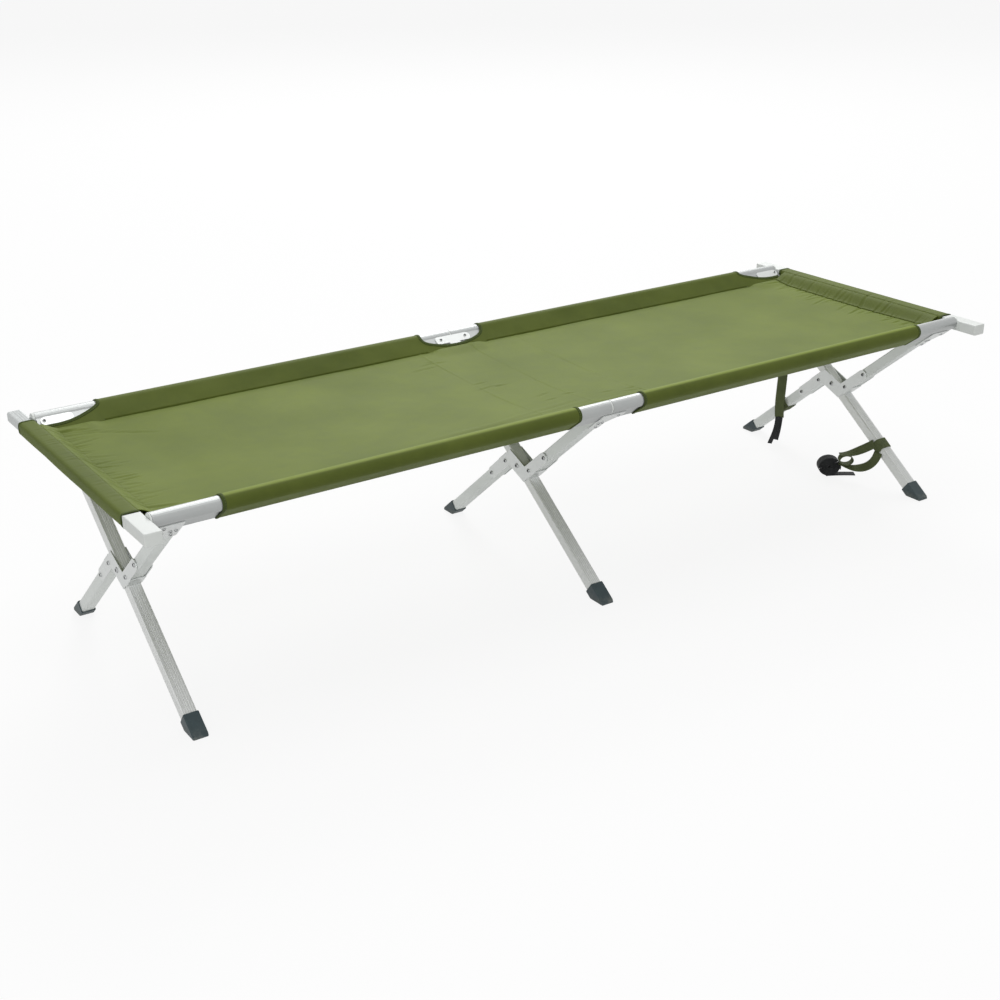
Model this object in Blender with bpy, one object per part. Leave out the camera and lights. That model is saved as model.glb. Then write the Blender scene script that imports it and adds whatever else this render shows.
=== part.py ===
"""Folding aluminium camp bed: two hinged frames of crossed legs and side rails, end bars and a canvas.

X runs along the bed, Y from the front rail to the back rail, Z up, the feet stand on z = 0.
Frame A is the back rail with the straight legs. Frame B is the front rail with the cranked legs,
and folds about the scissor pivots. All sizes are metres, all angles radians.
"""
import math

import bmesh
import bpy
from mathutils import Matrix, Vector
from mathutils.geometry import tessellate_polygon

# Driving sizes of the whole bed
OVERALL_LENGTH = 1.900
BAR_LENGTH = 0.670
RAIL_SPACING = 0.554
RAIL_HEIGHT = 0.402
PIVOT_HEIGHT = 0.199
LEG_SET_SPACING = 0.872
MIDDLE_SET_OFFSET = -0.022
FOLD_MARGIN = math.radians(4.0)
CLEARANCE = 0.0003

# Side rails: round head with a flat tail towards the legs
HEAD_RADIUS = 0.013
TAIL_THICKNESS = 0.022
TAIL_REACH = 0.038
RAIL_WALL = 0.0018
RING_THICKNESS = 0.003
PLUG_FLANGE = 0.003
PLUG_SPIGOT = 0.018
PLUG_FIT = 0.0005
PLUG_EDGE = 0.0006
STUD_RADIUS = 0.004
STUD_LENGTH = 0.014

# Tubes of the legs
LEG_WIDTH = 0.025
LEG_DEPTH = 0.022
LEG_WALL = 0.0015
TUBE_CORNER = 0.002
RIB_COUNT = 6
RIB_PITCH = 0.0026
RIB_DEPTH = 0.0004
CLOSED_GAP = 0.0028

# Crank brackets and their rivets
PLATE_THICKNESS = 0.002
ARM_WIDTH = 0.024
INNER_RIVET_REACH = 0.033
OUTER_RIVET_REACH = 0.100
ARM_REACH = 0.110
WEB_END = 0.053
HALF_LEG_START = 0.024
CRANK_RIVET_RADIUS = 0.0022
PIVOT_RIVET_RADIUS = 0.0032
RIVET_HEAD_RATIO = 1.8
RIVET_HEAD_HEIGHT = 0.0016
HEAD_SINK = 0.0003

# Bracket plates at the leg tops
BRACKET_START = 0.009
BRACKET_END = 0.074
BRACKET_SHOULDER = 0.034
LOWER_PLATE_REACH = 0.032
UPPER_PLATE_REACH = 0.0395
UPPER_PLATE_BACK = 0.022
UPPER_PLATE_START = 0.0073
UPPER_PLATE_SHOULDER = 0.026
HINGE_PLATE_HALF = 0.042
HINGE_RIVET_OFFSET = 0.030
PLATE_RIVET_INSET = 0.0072
BRACKET_RIVET_RADIUS = 0.0017
BRACKET_RIVET_PITCH = 0.0095
BRACKET_RIVET_ROWS = (0.044, 0.062)
LOWER_RAIL_ROW = 0.022
UPPER_RAIL_ROW = 0.0155
BRACKET_RIVET_GRIP = 0.0030

# Foot caps
CAP_WALL = 0.0015
CAP_LENGTH = 0.036
CAP_FLOOR = 0.004
CAP_TOE_CHAMFER = 0.006
CAP_EDGE = 0.0015

# End bars and their caps
BAR_WIDTH = 0.027
BAR_HEIGHT = 0.0195
BAR_WALL = 0.0018
BAR_CORNER = 0.004
BAR_RISE = 0.0055
BAR_CAP_WALL = 0.0012
BAR_CAP_LENGTH = 0.088
BAR_CAP_BACK_LENGTH = 0.079
BAR_CAP_CORNER = 0.003
BAR_CAP_END = 0.003

# Cloth
CLOTH = 0.0012
SLEEVE_CORNER_END = 0.800
SLEEVE_GAP_LEFT = -0.095
SLEEVE_GAP_RIGHT = 0.052
SLEEVE_SLACK = 0.0005
END_SLEEVE_GAP = 0.002
SCOOP_LENGTH = 0.106
CORNER_SCOOP = 0.028
MIDDLE_SCOOP = 0.0325
SCOOP_RAMP = 0.030
PANEL_THICKNESS = 0.0020
PANEL_SAG = 0.012
PANEL_DROP = 0.002
END_SAG_SHARE = 0.28
PANEL_END_GAP = 0.010
EDGE_RAISE = 0.0044
EDGE_RAISE_WIDTH = 0.040
FLAP_LENGTH = 0.032
FLAP_INSET = 0.0015
FLAP_TOP = 0.0055

# Straps
STRAP_WIDTH = 0.025
STRAP_THICKNESS = 0.0015
STRAP_SLACK = 0.0006
STRAP_BOW = 0.006
STRAP_TOP_GAP = 0.001
STRAP_BELOW_LEG = 0.030
BACK_STRAP_REACH = 0.178
FRONT_STRAP_REACH = 0.189
ROLL_SPOT = (0.808, -0.058)
ROLL_HEADING = math.radians(33)
STRAP_EYE_DROP = 0.022
STRAP_LEAD = 0.016
ROLL_CORE = 0.013
ROLL_GAP = 0.0020
ROLL_TURNS = 3
TAIL_LENGTH = 0.062
TAIL_WIDTH = 0.011
TAIL_SPREAD = 0.022

BORE_STEPS = 16
ROUND_STEPS = 12
WALL_STEPS = 3
HEAD_STEPS = 10
SMALL_STEPS = 8

# Sizes that follow from the driving ones
HALF_LEVER = math.hypot(RAIL_SPACING / 2, RAIL_HEIGHT - PIVOT_HEIGHT)
CRANK_OFFSET = LEG_DEPTH + CLOSED_GAP
ANGLE_A = math.atan2(RAIL_HEIGHT - PIVOT_HEIGHT, RAIL_SPACING / 2)
ANGLE_B = ANGLE_A + math.asin(CRANK_OFFSET / HALF_LEVER)
FOLD_RANGE = math.pi - ANGLE_A - ANGLE_B - FOLD_MARGIN
PIVOT = Vector((0, 0, PIVOT_HEIGHT))
UP_A = Vector((0, math.cos(ANGLE_A), math.sin(ANGLE_A)))
UP_B = Vector((0, -math.cos(ANGLE_B), math.sin(ANGLE_B)))
SIDE_A = Vector((0, math.sin(ANGLE_A), -math.cos(ANGLE_A)))
SIDE_B = Vector((0, -math.sin(ANGLE_B), -math.cos(ANGLE_B)))
AXIS_X = Vector((1, 0, 0))
LEG_SETS = {
    "left": -LEG_SET_SPACING,
    "middle": MIDDLE_SET_OFFSET,
    "right": LEG_SET_SPACING,
}
END_SIGN = {"left": -1, "middle": 1, "right": 1}
RAIL_JOINT = MIDDLE_SET_OFFSET
PLATE_FACE = LEG_WIDTH / 2 + CLEARANCE
CAP_OUTER_WIDTH = BAR_WIDTH + 2 * (BAR_CAP_WALL + CLEARANCE)
CAP_OUTER_HEIGHT = BAR_HEIGHT + 2 * (BAR_CAP_WALL + CLEARANCE)
BAR_X = OVERALL_LENGTH / 2 - CAP_OUTER_WIDTH / 2
BAR_Z = RAIL_HEIGHT + BAR_RISE - CAP_OUTER_HEIGHT / 2
RAIL_END = BAR_X - CAP_OUTER_WIDTH / 2 - CLEARANCE - PLUG_FLANGE
RAIL_HEAD_A = PIVOT + UP_A * HALF_LEVER
RAIL_HEAD_B = PIVOT + SIDE_B * CRANK_OFFSET + UP_B * math.sqrt(HALF_LEVER**2 - CRANK_OFFSET**2)
SOLE_REACH_A = PIVOT_HEIGHT / math.sin(ANGLE_A)
SOLE_REACH_B = (PIVOT_HEIGHT + CRANK_OFFSET * math.cos(ANGLE_B)) / math.sin(ANGLE_B)


def clear_scene():
    for item in list(bpy.data.objects):
        bpy.data.objects.remove(item, do_unlink=True)


def material(name, colour, roughness, metallic=0.0):
    made = bpy.data.materials.get(name) or bpy.data.materials.new(name)
    made.use_nodes = True
    shader = made.node_tree.nodes["Principled BSDF"]
    shader.inputs["Base Color"].default_value = (*colour, 1.0)
    shader.inputs["Roughness"].default_value = roughness
    shader.inputs["Metallic"].default_value = metallic
    made.diffuse_color = (*colour, 1.0)
    return made


def aluminium():
    return material("satin_aluminium", (0.62, 0.64, 0.64), 0.38, 0.9)


def plate_metal():
    return material("bright_plate", (0.74, 0.76, 0.75), 0.30, 0.9)


def rivet_metal():
    return material("rivet_metal", (0.50, 0.52, 0.52), 0.35, 0.9)


def white_plastic():
    return material("white_plastic", (0.82, 0.84, 0.82), 0.40)


def foot_plastic():
    return material("foot_plastic", (0.045, 0.075, 0.082), 0.45)


def canvas():
    return material("olive_canvas", (0.19, 0.24, 0.085), 0.62)


def olive_webbing():
    return material("olive_webbing", (0.10, 0.12, 0.055), 0.75)


def black_webbing():
    return material("black_webbing", (0.012, 0.013, 0.014), 0.70)


def finish(name, mesh, look, origin=None, smooth_angle=None):
    """Links a mesh as one named object, with its origin moved to a joint's axis."""
    made = bpy.data.objects.new(name, mesh)
    bpy.context.scene.collection.objects.link(made)
    mesh.materials.append(look)
    if smooth_angle is not None:
        mesh.polygons.foreach_set("use_smooth", [True] * len(mesh.polygons))
        mesh.set_sharp_from_angle(angle=smooth_angle)
    if origin is not None:
        mesh.transform(Matrix.Translation(-origin))
        made.location = origin
    return made


def frame_matrix(origin, across, side, along):
    """A frame whose columns are the given unit directions, at the given place."""
    turned = Matrix((across, side, along)).transposed().to_4x4()
    turned.translation = origin
    return turned


def face_outwards(shape, faces):
    """Turns the faces of one closed body outwards, by the sign of its volume."""
    bmesh.ops.recalc_face_normals(shape, faces=faces)
    volume = 0.0
    for face in faces:
        first, *others = [vert.co for vert in face.verts]
        volume += sum(first.dot(a.cross(b)) for a, b in zip(others, others[1:]))
    if volume < 0:
        bmesh.ops.reverse_faces(shape, faces=faces)


def prism(shape, loops, place, start, end):
    """Adds a straight extrusion of an outline with holes, from start to end along the frame's Z."""
    faces = []
    rings = [[Vector((u, v, 0)) for u, v in loop] for loop in loops]
    flat = [point for ring in rings for point in ring]
    low = [shape.verts.new(place @ Vector((p.x, p.y, start))) for p in flat]
    high = [shape.verts.new(place @ Vector((p.x, p.y, end))) for p in flat]
    for a, b, c in tessellate_polygon(rings):
        faces.append(shape.faces.new((low[a], low[b], low[c])))
        faces.append(shape.faces.new((high[c], high[b], high[a])))
    first = 0
    for ring in rings:
        count = len(ring)
        for i in range(count):
            j = (i + 1) % count
            faces.append(shape.faces.new((low[first + i], low[first + j], high[first + j], high[first + i])))
        first += count
    face_outwards(shape, faces)


def lathe(shape, profile, place, steps):
    """Adds a closed turned solid; profile is (distance along the axis, radius) from end to end."""
    rings = []
    faces = []
    for along, radius in profile:
        if radius == 0:
            rings.append([shape.verts.new(place @ Vector((0, 0, along)))])
            continue
        turn = [2 * math.pi * k / steps for k in range(steps)]
        rings.append(
            [
                shape.verts.new(place @ Vector((radius * math.cos(a), radius * math.sin(a), along)))
                for a in turn
            ]
        )
    for lower, upper in zip(rings, rings[1:]):
        for k in range(steps):
            n = (k + 1) % steps
            quad = [lower[k % len(lower)], lower[n % len(lower)], upper[n % len(upper)], upper[k % len(upper)]]
            corners = list(dict.fromkeys(quad))
            if len(corners) > 2:
                faces.append(shape.faces.new(corners))
    face_outwards(shape, faces)


def solid(name, look, build, origin=None, smooth_angle=None):
    shape = bmesh.new()
    build(shape)
    mesh = bpy.data.meshes.new(name)
    shape.to_mesh(mesh)
    shape.free()
    return finish(name, mesh, look, origin, smooth_angle)


def combine(target, build, operation):
    """Applies an exact Boolean of a hidden helper solid to the target."""
    helper = solid(f"{target.name}_{operation.lower()}", target.data.materials[0], build)
    helper.hide_render = True
    helper.display_type = "WIRE"
    step = target.modifiers.new(operation.lower(), "BOOLEAN")
    step.operation = operation
    step.solver = "EXACT"
    step.object = helper


def cut(target, build):
    combine(target, build, "DIFFERENCE")


def join(target, build):
    combine(target, build, "UNION")


def circle(radius, steps, centre=(0, 0)):
    return [
        (
            centre[0] + radius * math.cos(2 * math.pi * k / steps),
            centre[1] + radius * math.sin(2 * math.pi * k / steps),
        )
        for k in range(steps)
    ]


def arc(centre, radius, start, end, steps):
    """Points on an arc, angles in degrees, both ends included."""
    turns = [math.radians(start + (end - start) * k / steps) for k in range(steps + 1)]
    return [(centre[0] + radius * math.cos(a), centre[1] + radius * math.sin(a)) for a in turns]


def rounded(points, radii, steps=3):
    """Rounds the corners of a polygon; a radius of 0 keeps the corner sharp."""
    out = []
    count = len(points)
    for i, (corner, radius) in enumerate(zip(points, radii)):
        here = Vector(corner)
        if radius == 0:
            out.append(tuple(here))
            continue
        before = (Vector(points[i - 1]) - here).normalized()
        after = (Vector(points[(i + 1) % count]) - here).normalized()
        half = before.angle(after) / 2
        centre = here + (before + after).normalized() * radius / math.sin(half)
        first = here + before * radius / math.tan(half) - centre
        last = here + after * radius / math.tan(half) - centre
        sweep = math.atan2(first.x * last.y - first.y * last.x, first.dot(last))
        for k in range(steps + 1):
            a = sweep * k / steps
            turned = Vector(
                (
                    first.x * math.cos(a) - first.y * math.sin(a),
                    first.x * math.sin(a) + first.y * math.cos(a),
                )
            )
            out.append(tuple(centre + turned))
    return out


def ribbed_edge(half_span, level):
    """Points of one wide tube face, left to right, with fine V grooves between the ribs."""
    first = -(RIB_COUNT - 1) / 2 * RIB_PITCH
    edge = []
    for k in range(RIB_COUNT):
        middle = first + k * RIB_PITCH
        edge += [
            (middle - RIB_PITCH * 0.22, level),
            (middle, level - math.copysign(RIB_DEPTH, level)),
            (middle + RIB_PITCH * 0.22, level),
        ]
    return [(-half_span, level)] + edge + [(half_span, level)]


def tube_loops(width, depth, wall, corner=TUBE_CORNER, corner_steps=1):
    """Outline and bore of a ribbed rectangular tube; width runs along u, depth along v."""
    flat_u = width / 2 - corner
    flat_v = depth / 2 - corner
    top = ribbed_edge(flat_u, depth / 2)
    bottom = [(-u, -v) for u, v in top]
    upper = arc((flat_u, flat_v), corner, 90, 0, corner_steps)[1:]
    right = upper + [(u, -v) for u, v in reversed(upper[:corner_steps])]
    left = [(-u, -v) for u, v in right]
    u, v = width / 2 - wall, depth / 2 - wall
    return [top + right + bottom + left, [(-u, -v), (-u, v), (u, v), (u, -v)]]


# Side rails, their plugs and centre rings

def rail_frame(head, up, side):
    """Frame at the rail's head centre: u down the leg, v to the leg's outer side, extruded along X."""
    return frame_matrix(head, -up, side, (-up).cross(side))


def rail_section():
    """Round head, flat tail, round bore and the tail's chamber."""
    half = TAIL_THICKNESS / 2
    neck = math.degrees(math.asin(half / HEAD_RADIUS))
    head = arc((0, 0), HEAD_RADIUS, neck, 360 - neck, 16)
    outline = head + [(TAIL_REACH, -half), (TAIL_REACH, half)]
    bore = circle(HEAD_RADIUS - RAIL_WALL, BORE_STEPS)
    inner = half - RAIL_WALL
    chamber = [
        (HEAD_RADIUS + RAIL_WALL / 2, -inner),
        (HEAD_RADIUS + RAIL_WALL / 2, inner),
        (TAIL_REACH - RAIL_WALL, inner),
        (TAIL_REACH - RAIL_WALL, -inner),
    ]
    return [outline, bore, chamber]


def along_x(frame, start, end):
    """Start and end along X as distances along the frame's own extrusion axis."""
    sense = (frame.to_3x3() @ Vector((0, 0, 1))).x
    return start * sense, end * sense


def build_rail(side_name, head, up, side):
    frame = rail_frame(head, up, side)
    inner = RING_THICKNESS / 2 + CLEARANCE
    runs = {"left": (-RAIL_END, RAIL_JOINT - inner), "right": (RAIL_JOINT + inner, RAIL_END)}
    section = rail_section()
    for hand, (start, end) in runs.items():
        rail = solid(
            f"rail_{side_name}_{hand}",
            aluminium(),
            lambda shape: prism(shape, section, frame, *along_x(frame, start, end)),
            None if side_name == "back" else PIVOT,
            math.radians(32),
        )
        cut(rail, lambda shape: rail_rivet_holes(shape, hand, head, up, side))


def build_plug(side_name, hand, head, up, side, with_stud):
    """White end plug: flange against the end bar, spigot in the rail's bore, stud for the bar."""
    outward = AXIS_X * END_SIGN[hand]
    frame = frame_matrix(head, up, up.cross(outward) * -1, outward)
    flange = PLUG_FLANGE
    bare_bar = side_name == "back" and hand == "left"
    if bare_bar:
        flange += BAR_CAP_WALL + CLEARANCE
    face = RAIL_END + flange
    spigot = HEAD_RADIUS - RAIL_WALL - PLUG_FIT
    profile = [
        (RAIL_END - PLUG_SPIGOT, 0),
        (RAIL_END - PLUG_SPIGOT, spigot),
        (RAIL_END + CLEARANCE, spigot),
        (RAIL_END + CLEARANCE, HEAD_RADIUS),
        (face - PLUG_EDGE, HEAD_RADIUS),
        (face, HEAD_RADIUS - PLUG_EDGE),
        (face, 0),
    ]
    plug = solid(
        f"plug_{side_name}_{hand}",
        white_plastic(),
        lambda shape: lathe(shape, profile, frame, BORE_STEPS),
        None if side_name == "back" else PIVOT,
        math.radians(32),
    )
    if with_stud:
        low = frame_matrix(Vector((0, head.y, BAR_Z)), frame.col[0].xyz, frame.col[1].xyz, outward)
        tip = face + STUD_LENGTH
        stud = [
            (RAIL_END + CLEARANCE * 2, 0),
            (RAIL_END + CLEARANCE * 2, STUD_RADIUS),
            (tip - PLUG_EDGE, STUD_RADIUS),
            (tip, STUD_RADIUS - PLUG_EDGE),
            (tip, 0),
        ]
        join(plug, lambda shape: lathe(shape, stud, low, ROUND_STEPS))


def build_ring(side_name, head, up, side):
    """White spacer between the rail halves, with a spigot into each bore."""
    frame = frame_matrix(head + AXIS_X * RAIL_JOINT, up, up.cross(AXIS_X) * -1, AXIS_X)
    spigot = HEAD_RADIUS - RAIL_WALL - PLUG_FIT
    half = RING_THICKNESS / 2
    profile = [
        (-PLUG_SPIGOT, 0),
        (-PLUG_SPIGOT, spigot),
        (-half, spigot),
        (-half, HEAD_RADIUS),
        (half, HEAD_RADIUS),
        (half, spigot),
        (PLUG_SPIGOT, spigot),
        (PLUG_SPIGOT, 0),
    ]
    solid(
        f"ring_{side_name}",
        white_plastic(),
        lambda shape: lathe(shape, profile, frame, BORE_STEPS),
        None if side_name == "back" else PIVOT,
        math.radians(32),
    )


# Leg tubes

def leg_frame(x, axis_point, up, side):
    """Frame on a leg tube's axis: u along the bed, v to the outer side, w up the leg."""
    across = side.cross(up)
    return frame_matrix(Vector((x, axis_point.y, axis_point.z)), across, side, up)


def pin_cutter(shape, places, radius, steps, start, end):
    for place in places:
        prism(shape, [circle(radius, steps)], place, start, end)


def cross_pin_frames(x, points):
    """Frames whose Z runs along X through the given points of the leg plane."""
    return [frame_matrix(Vector((x, p.y, p.z)), Vector((0, 1, 0)), Vector((0, 0, 1)), AXIS_X) for p in points]


def tube_end_lift(angle):
    """How far above the ground point, along the leg, a square tube end must stop."""
    return (LEG_DEPTH / 2 * math.cos(angle) + CAP_FLOOR) / math.sin(angle)


def build_long_leg(name, x):
    frame = leg_frame(x, PIVOT, UP_A, SIDE_A)
    loops = tube_loops(LEG_WIDTH, LEG_DEPTH, LEG_WALL)
    bottom = -(SOLE_REACH_A - tube_end_lift(ANGLE_A))
    top = HALF_LEVER - TAIL_REACH - CLEARANCE
    leg = solid(
        f"leg_long_{name}",
        aluminium(),
        lambda shape: prism(shape, loops, frame, bottom, top),
        None,
        math.radians(20),
    )

    def holes(shape):
        pivots = cross_pin_frames(x, [PIVOT])
        pin_cutter(shape, pivots, PIVOT_RIVET_RADIUS + CLEARANCE, ROUND_STEPS, -LEG_WIDTH, LEG_WIDTH)
        leg_rivet_holes(shape, x, RAIL_HEAD_A, UP_A, SIDE_A)

    cut(leg, holes)


def build_half_legs(name, x):
    loops = tube_loops(LEG_WIDTH, LEG_DEPTH, LEG_WALL)
    upper_axis = PIVOT + SIDE_B * CRANK_OFFSET
    lower_axis = PIVOT - SIDE_B * CRANK_OFFSET
    upper_frame = leg_frame(x, upper_axis, UP_B, SIDE_B)
    lower_frame = leg_frame(x, lower_axis, UP_B, SIDE_B)
    rail_reach = (RAIL_HEAD_B - upper_axis).length
    bottom = -(SOLE_REACH_B - tube_end_lift(ANGLE_B))
    runs = {
        "upper": (upper_frame, HALF_LEG_START, rail_reach - TAIL_REACH - CLEARANCE, 1),
        "lower": (lower_frame, bottom, -HALF_LEG_START, -1),
    }
    for part, (frame, start, end, sense) in runs.items():
        leg = solid(
            f"leg_{part}_{name}",
            aluminium(),
            lambda shape: prism(shape, loops, frame, start, end),
            PIVOT,
            math.radians(20),
        )

        def holes(shape):
            pins = cross_pin_frames(x, crank_rivet_points(sense))
            pin_cutter(shape, pins, CRANK_RIVET_RADIUS + CLEARANCE, SMALL_STEPS, -LEG_WIDTH, LEG_WIDTH)
            if part == "upper":
                leg_rivet_holes(shape, x, RAIL_HEAD_B, UP_B, SIDE_B)

        cut(leg, holes)


def crank_rivet_points(sense):
    """The two rivet centres of one half leg; sense is 1 for the upper half, -1 for the lower."""
    axis = PIVOT + SIDE_B * CRANK_OFFSET * sense
    return [axis + UP_B * reach * sense for reach in (INNER_RIVET_REACH, OUTER_RIVET_REACH)]


# Crank brackets, pivots and crank rivets

def crank_outline():
    """The cranked plate in the leg plane: u up the leg, v to the outer side, round-ended arms."""
    half = ARM_WIDTH / 2
    offset = CRANK_OFFSET
    tip = arc((ARM_REACH - half, offset), half, -90, 90, 6)
    upper = [(ARM_WIDTH * 1.05, offset - half)] + tip + [(0.0, offset + half)]
    lower = [(-u, -v) for u, v in upper]
    return upper + lower


def rivet_profile(radius, low, high):
    """Turned rivet with a low domed head on both ends of its grip."""
    head = radius * RIVET_HEAD_RATIO
    rise = RIVET_HEAD_HEIGHT
    return [
        (low - rise, 0),
        (low - rise, head * 0.55),
        (low - rise * 0.45, head * 0.93),
        (low, head),
        (low, radius),
        (high, radius),
        (high, head),
        (high + rise * 0.45, head * 0.93),
        (high + rise, head * 0.55),
        (high + rise, 0),
    ]


def web_start():
    """Where the web's edge meets the long leg's face in the open pose, along the half leg."""
    web_level = CRANK_OFFSET + LEG_DEPTH / 2 + CLEARANCE
    opening = math.pi - ANGLE_A - ANGLE_B
    return (LEG_DEPTH / 2 + CLEARANCE - web_level * math.cos(opening)) / math.sin(opening) + CLEARANCE


def build_crank(name, x):
    """Folded channel: two cranked side plates, a web on each arm that is also the stop, and rivets."""
    frame = frame_matrix(PIVOT + AXIS_X * x, UP_B, SIDE_B, UP_B.cross(SIDE_B))
    pivot_hole = circle(PIVOT_RIVET_RADIUS + CLEARANCE, ROUND_STEPS)
    inner = PLATE_FACE
    outer = PLATE_FACE + PLATE_THICKNESS
    level = CRANK_OFFSET + LEG_DEPTH / 2 + CLEARANCE
    start = web_start()

    def plates(shape):
        prism(shape, [crank_outline(), pivot_hole], frame, -outer, -inner)
        prism(shape, [crank_outline(), pivot_hole], frame, inner, outer)

    def webs_and_rivets(shape):
        for s in (1, -1):
            low, high = level * s, (level + PLATE_THICKNESS) * s
            web = [(start * s, low), (WEB_END * s, low), (WEB_END * s, high), (start * s, high)]
            prism(shape, [web], frame, -outer + CLEARANCE, outer - CLEARANCE)
            for place in cross_pin_frames(x, crank_rivet_points(s)):
                grip = outer - HEAD_SINK
                lathe(shape, rivet_profile(CRANK_RIVET_RADIUS, -grip, grip), place, SMALL_STEPS)

    join(solid(f"crank_{name}", plate_metal(), plates, PIVOT, math.radians(30)), webs_and_rivets)


def build_pivot(name, x):
    """Scissor pivot through the long leg and both crank plates."""
    grip = PLATE_FACE + PLATE_THICKNESS + CLEARANCE
    place = cross_pin_frames(x, [PIVOT])[0]
    profile = rivet_profile(PIVOT_RIVET_RADIUS, -grip, grip)
    solid(
        f"pivot_rivet_{name}",
        rivet_metal(),
        lambda shape: lathe(shape, profile, place, ROUND_STEPS),
        None,
        math.radians(40),
    )


# Bracket plates and rivets between leg tops and rails

def bracket_rivets(name):
    """Rivet places (along the bed from the leg's axis, down the leg from the rail) on one plate."""
    sense = END_SIGN[name]
    pitch = BRACKET_RIVET_PITCH / 2
    near, far = BRACKET_RIVET_ROWS
    lower = [(-pitch, near), (pitch, near), (0, far)]
    upper = [(-pitch, near), (pitch, near), (0, far)]
    if name == "middle":
        lower += [(HINGE_RIVET_OFFSET, LOWER_RAIL_ROW)]
        upper += [(s * HINGE_RIVET_OFFSET, UPPER_RAIL_ROW) for s in (-1, 1)]
    else:
        lower += [(sense * (LOWER_PLATE_REACH - PLATE_RIVET_INSET * 1.5), LOWER_RAIL_ROW)]
        upper += [(sense * (UPPER_PLATE_REACH - PLATE_RIVET_INSET), UPPER_RAIL_ROW)]
    return {"lower": lower, "upper": upper}


def rivet_frame(x, head, up, side, place, plate):
    """Frame on a bracket rivet, its Z pointing out of the plate's outer face."""
    outward = side if plate == "lower" else -side
    along, down = place
    face = LEG_DEPTH / 2 + CLEARANCE + PLATE_THICKNESS
    point = Vector((x + along, head.y, head.z)) - up * down + outward * face
    return frame_matrix(point, AXIS_X, outward.cross(AXIS_X), outward)


def rivet_frames(name, head, up, side, on_leg):
    frames = []
    for plate, places in bracket_rivets(name).items():
        for place in places:
            if (place[1] > TAIL_REACH) == on_leg:
                frames.append((place, rivet_frame(LEG_SETS[name], head, up, side, place, plate)))
    return frames


def leg_rivet_holes(shape, x, head, up, side):
    name = next(key for key, value in LEG_SETS.items() if value == x)
    depth = PLATE_THICKNESS + CLEARANCE + LEG_WALL * 2
    for _, place in rivet_frames(name, head, up, side, True):
        prism(shape, [circle(BRACKET_RIVET_RADIUS + CLEARANCE, SMALL_STEPS)], place, -depth, 0.001)


def rail_rivet_holes(shape, hand, head, up, side):
    depth = PLATE_THICKNESS + CLEARANCE + RAIL_WALL * 2
    for name in LEG_SETS:
        for _, place in rivet_frames(name, head, up, side, False):
            if (place.translation.x < RAIL_JOINT) == (hand == "left"):
                prism(shape, [circle(BRACKET_RIVET_RADIUS + CLEARANCE, SMALL_STEPS)], place, -depth, 0.001)


def plate_outline(name, plate):
    """Bracket plate outline: u along the bed from the leg's axis, v down the leg from the rail."""
    half = LEG_WIDTH / 2
    top, shoulder, end = BRACKET_START, BRACKET_SHOULDER, BRACKET_END
    if plate == "upper":
        top, shoulder = UPPER_PLATE_START, UPPER_PLATE_SHOULDER
    if name == "middle":
        back = half if plate == "lower" else HINGE_PLATE_HALF
        reach = HINGE_PLATE_HALF
    else:
        back = half if plate == "lower" else UPPER_PLATE_BACK
        reach = LOWER_PLATE_REACH if plate == "lower" else UPPER_PLATE_REACH
    outline = [
        (-back, top),
        (reach, top),
        (reach, shoulder - 0.010 if plate == "lower" else shoulder),
        (half, shoulder + (0.014 if plate == "lower" else 0)),
        (half, end),
        (-half, end),
    ]
    radii = [0.001, 0.004, 0.005, 0.002, 0.005, 0.005]
    if plate == "upper":
        outline += [(-half, shoulder), (-back, shoulder)]
        radii = [0.006, 0.009, 0.009, 0.002, 0.005, 0.005, 0.002, 0.004]
    if END_SIGN[name] < 0:
        outline = [(-u, v) for u, v in outline]
    return rounded(outline, radii)


def build_brackets(side_name, head, up, side):
    """Flat plates over leg top and rail tail, each with its blind rivets' heads and shanks."""
    origin = None if side_name == "back" else PIVOT
    dome = BRACKET_RIVET_RADIUS * RIVET_HEAD_RATIO
    profile = [
        (-PLATE_THICKNESS - BRACKET_RIVET_GRIP, 0),
        (-PLATE_THICKNESS - BRACKET_RIVET_GRIP, BRACKET_RIVET_RADIUS),
        (-HEAD_SINK, BRACKET_RIVET_RADIUS),
        (-HEAD_SINK, dome),
        (RIVET_HEAD_HEIGHT * 0.6, dome * 0.85),
        (RIVET_HEAD_HEIGHT, 0),
    ]
    for name, x in LEG_SETS.items():
        for plate in ("lower", "upper"):
            outward = side if plate == "lower" else -side
            place = Vector((x, head.y, head.z)) + outward * (LEG_DEPTH / 2 + CLEARANCE)
            frame = frame_matrix(place, AXIS_X, -up, AXIS_X.cross(-up))
            sense = AXIS_X.cross(-up).dot(outward)
            outline = plate_outline(name, plate)
            spots = [rivet_frame(x, head, up, side, spot, plate) for spot in bracket_rivets(name)[plate]]
            made = solid(
                f"bracket_{side_name}_{name}_{plate}",
                plate_metal(),
                lambda shape: prism(shape, [outline], frame, 0, PLATE_THICKNESS * sense),
                origin,
                math.radians(30),
            )

            def rivets(shape):
                for spot in spots:
                    lathe(shape, profile, spot, SMALL_STEPS)

            join(made, rivets)


# Feet

def foot_outline(angle):
    """Boot outline in the leg plane, from the leg's ground point: u outwards, v up, toe and heel cut."""
    half = LEG_DEPTH / 2 + CLEARANCE + CAP_WALL
    down = Vector((math.cos(angle), -math.sin(angle)))
    across = Vector((math.sin(angle), math.cos(angle)))
    mouth = -down * CAP_LENGTH
    toe = half / math.sin(angle)
    upper_front = mouth + across * half
    lower_back = mouth - across * half
    chamfer = CAP_TOE_CHAMFER
    heel_rise = -across * half + down * (-half / math.tan(angle))
    return [
        tuple(upper_front),
        tuple(Vector((toe, 0)) - down * chamfer * 1.6),
        (toe - chamfer, 0),
        (heel_rise.x + 0.0015, 0),
        tuple(heel_rise - down * 0.0015),
        tuple(lower_back),
    ]


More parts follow.
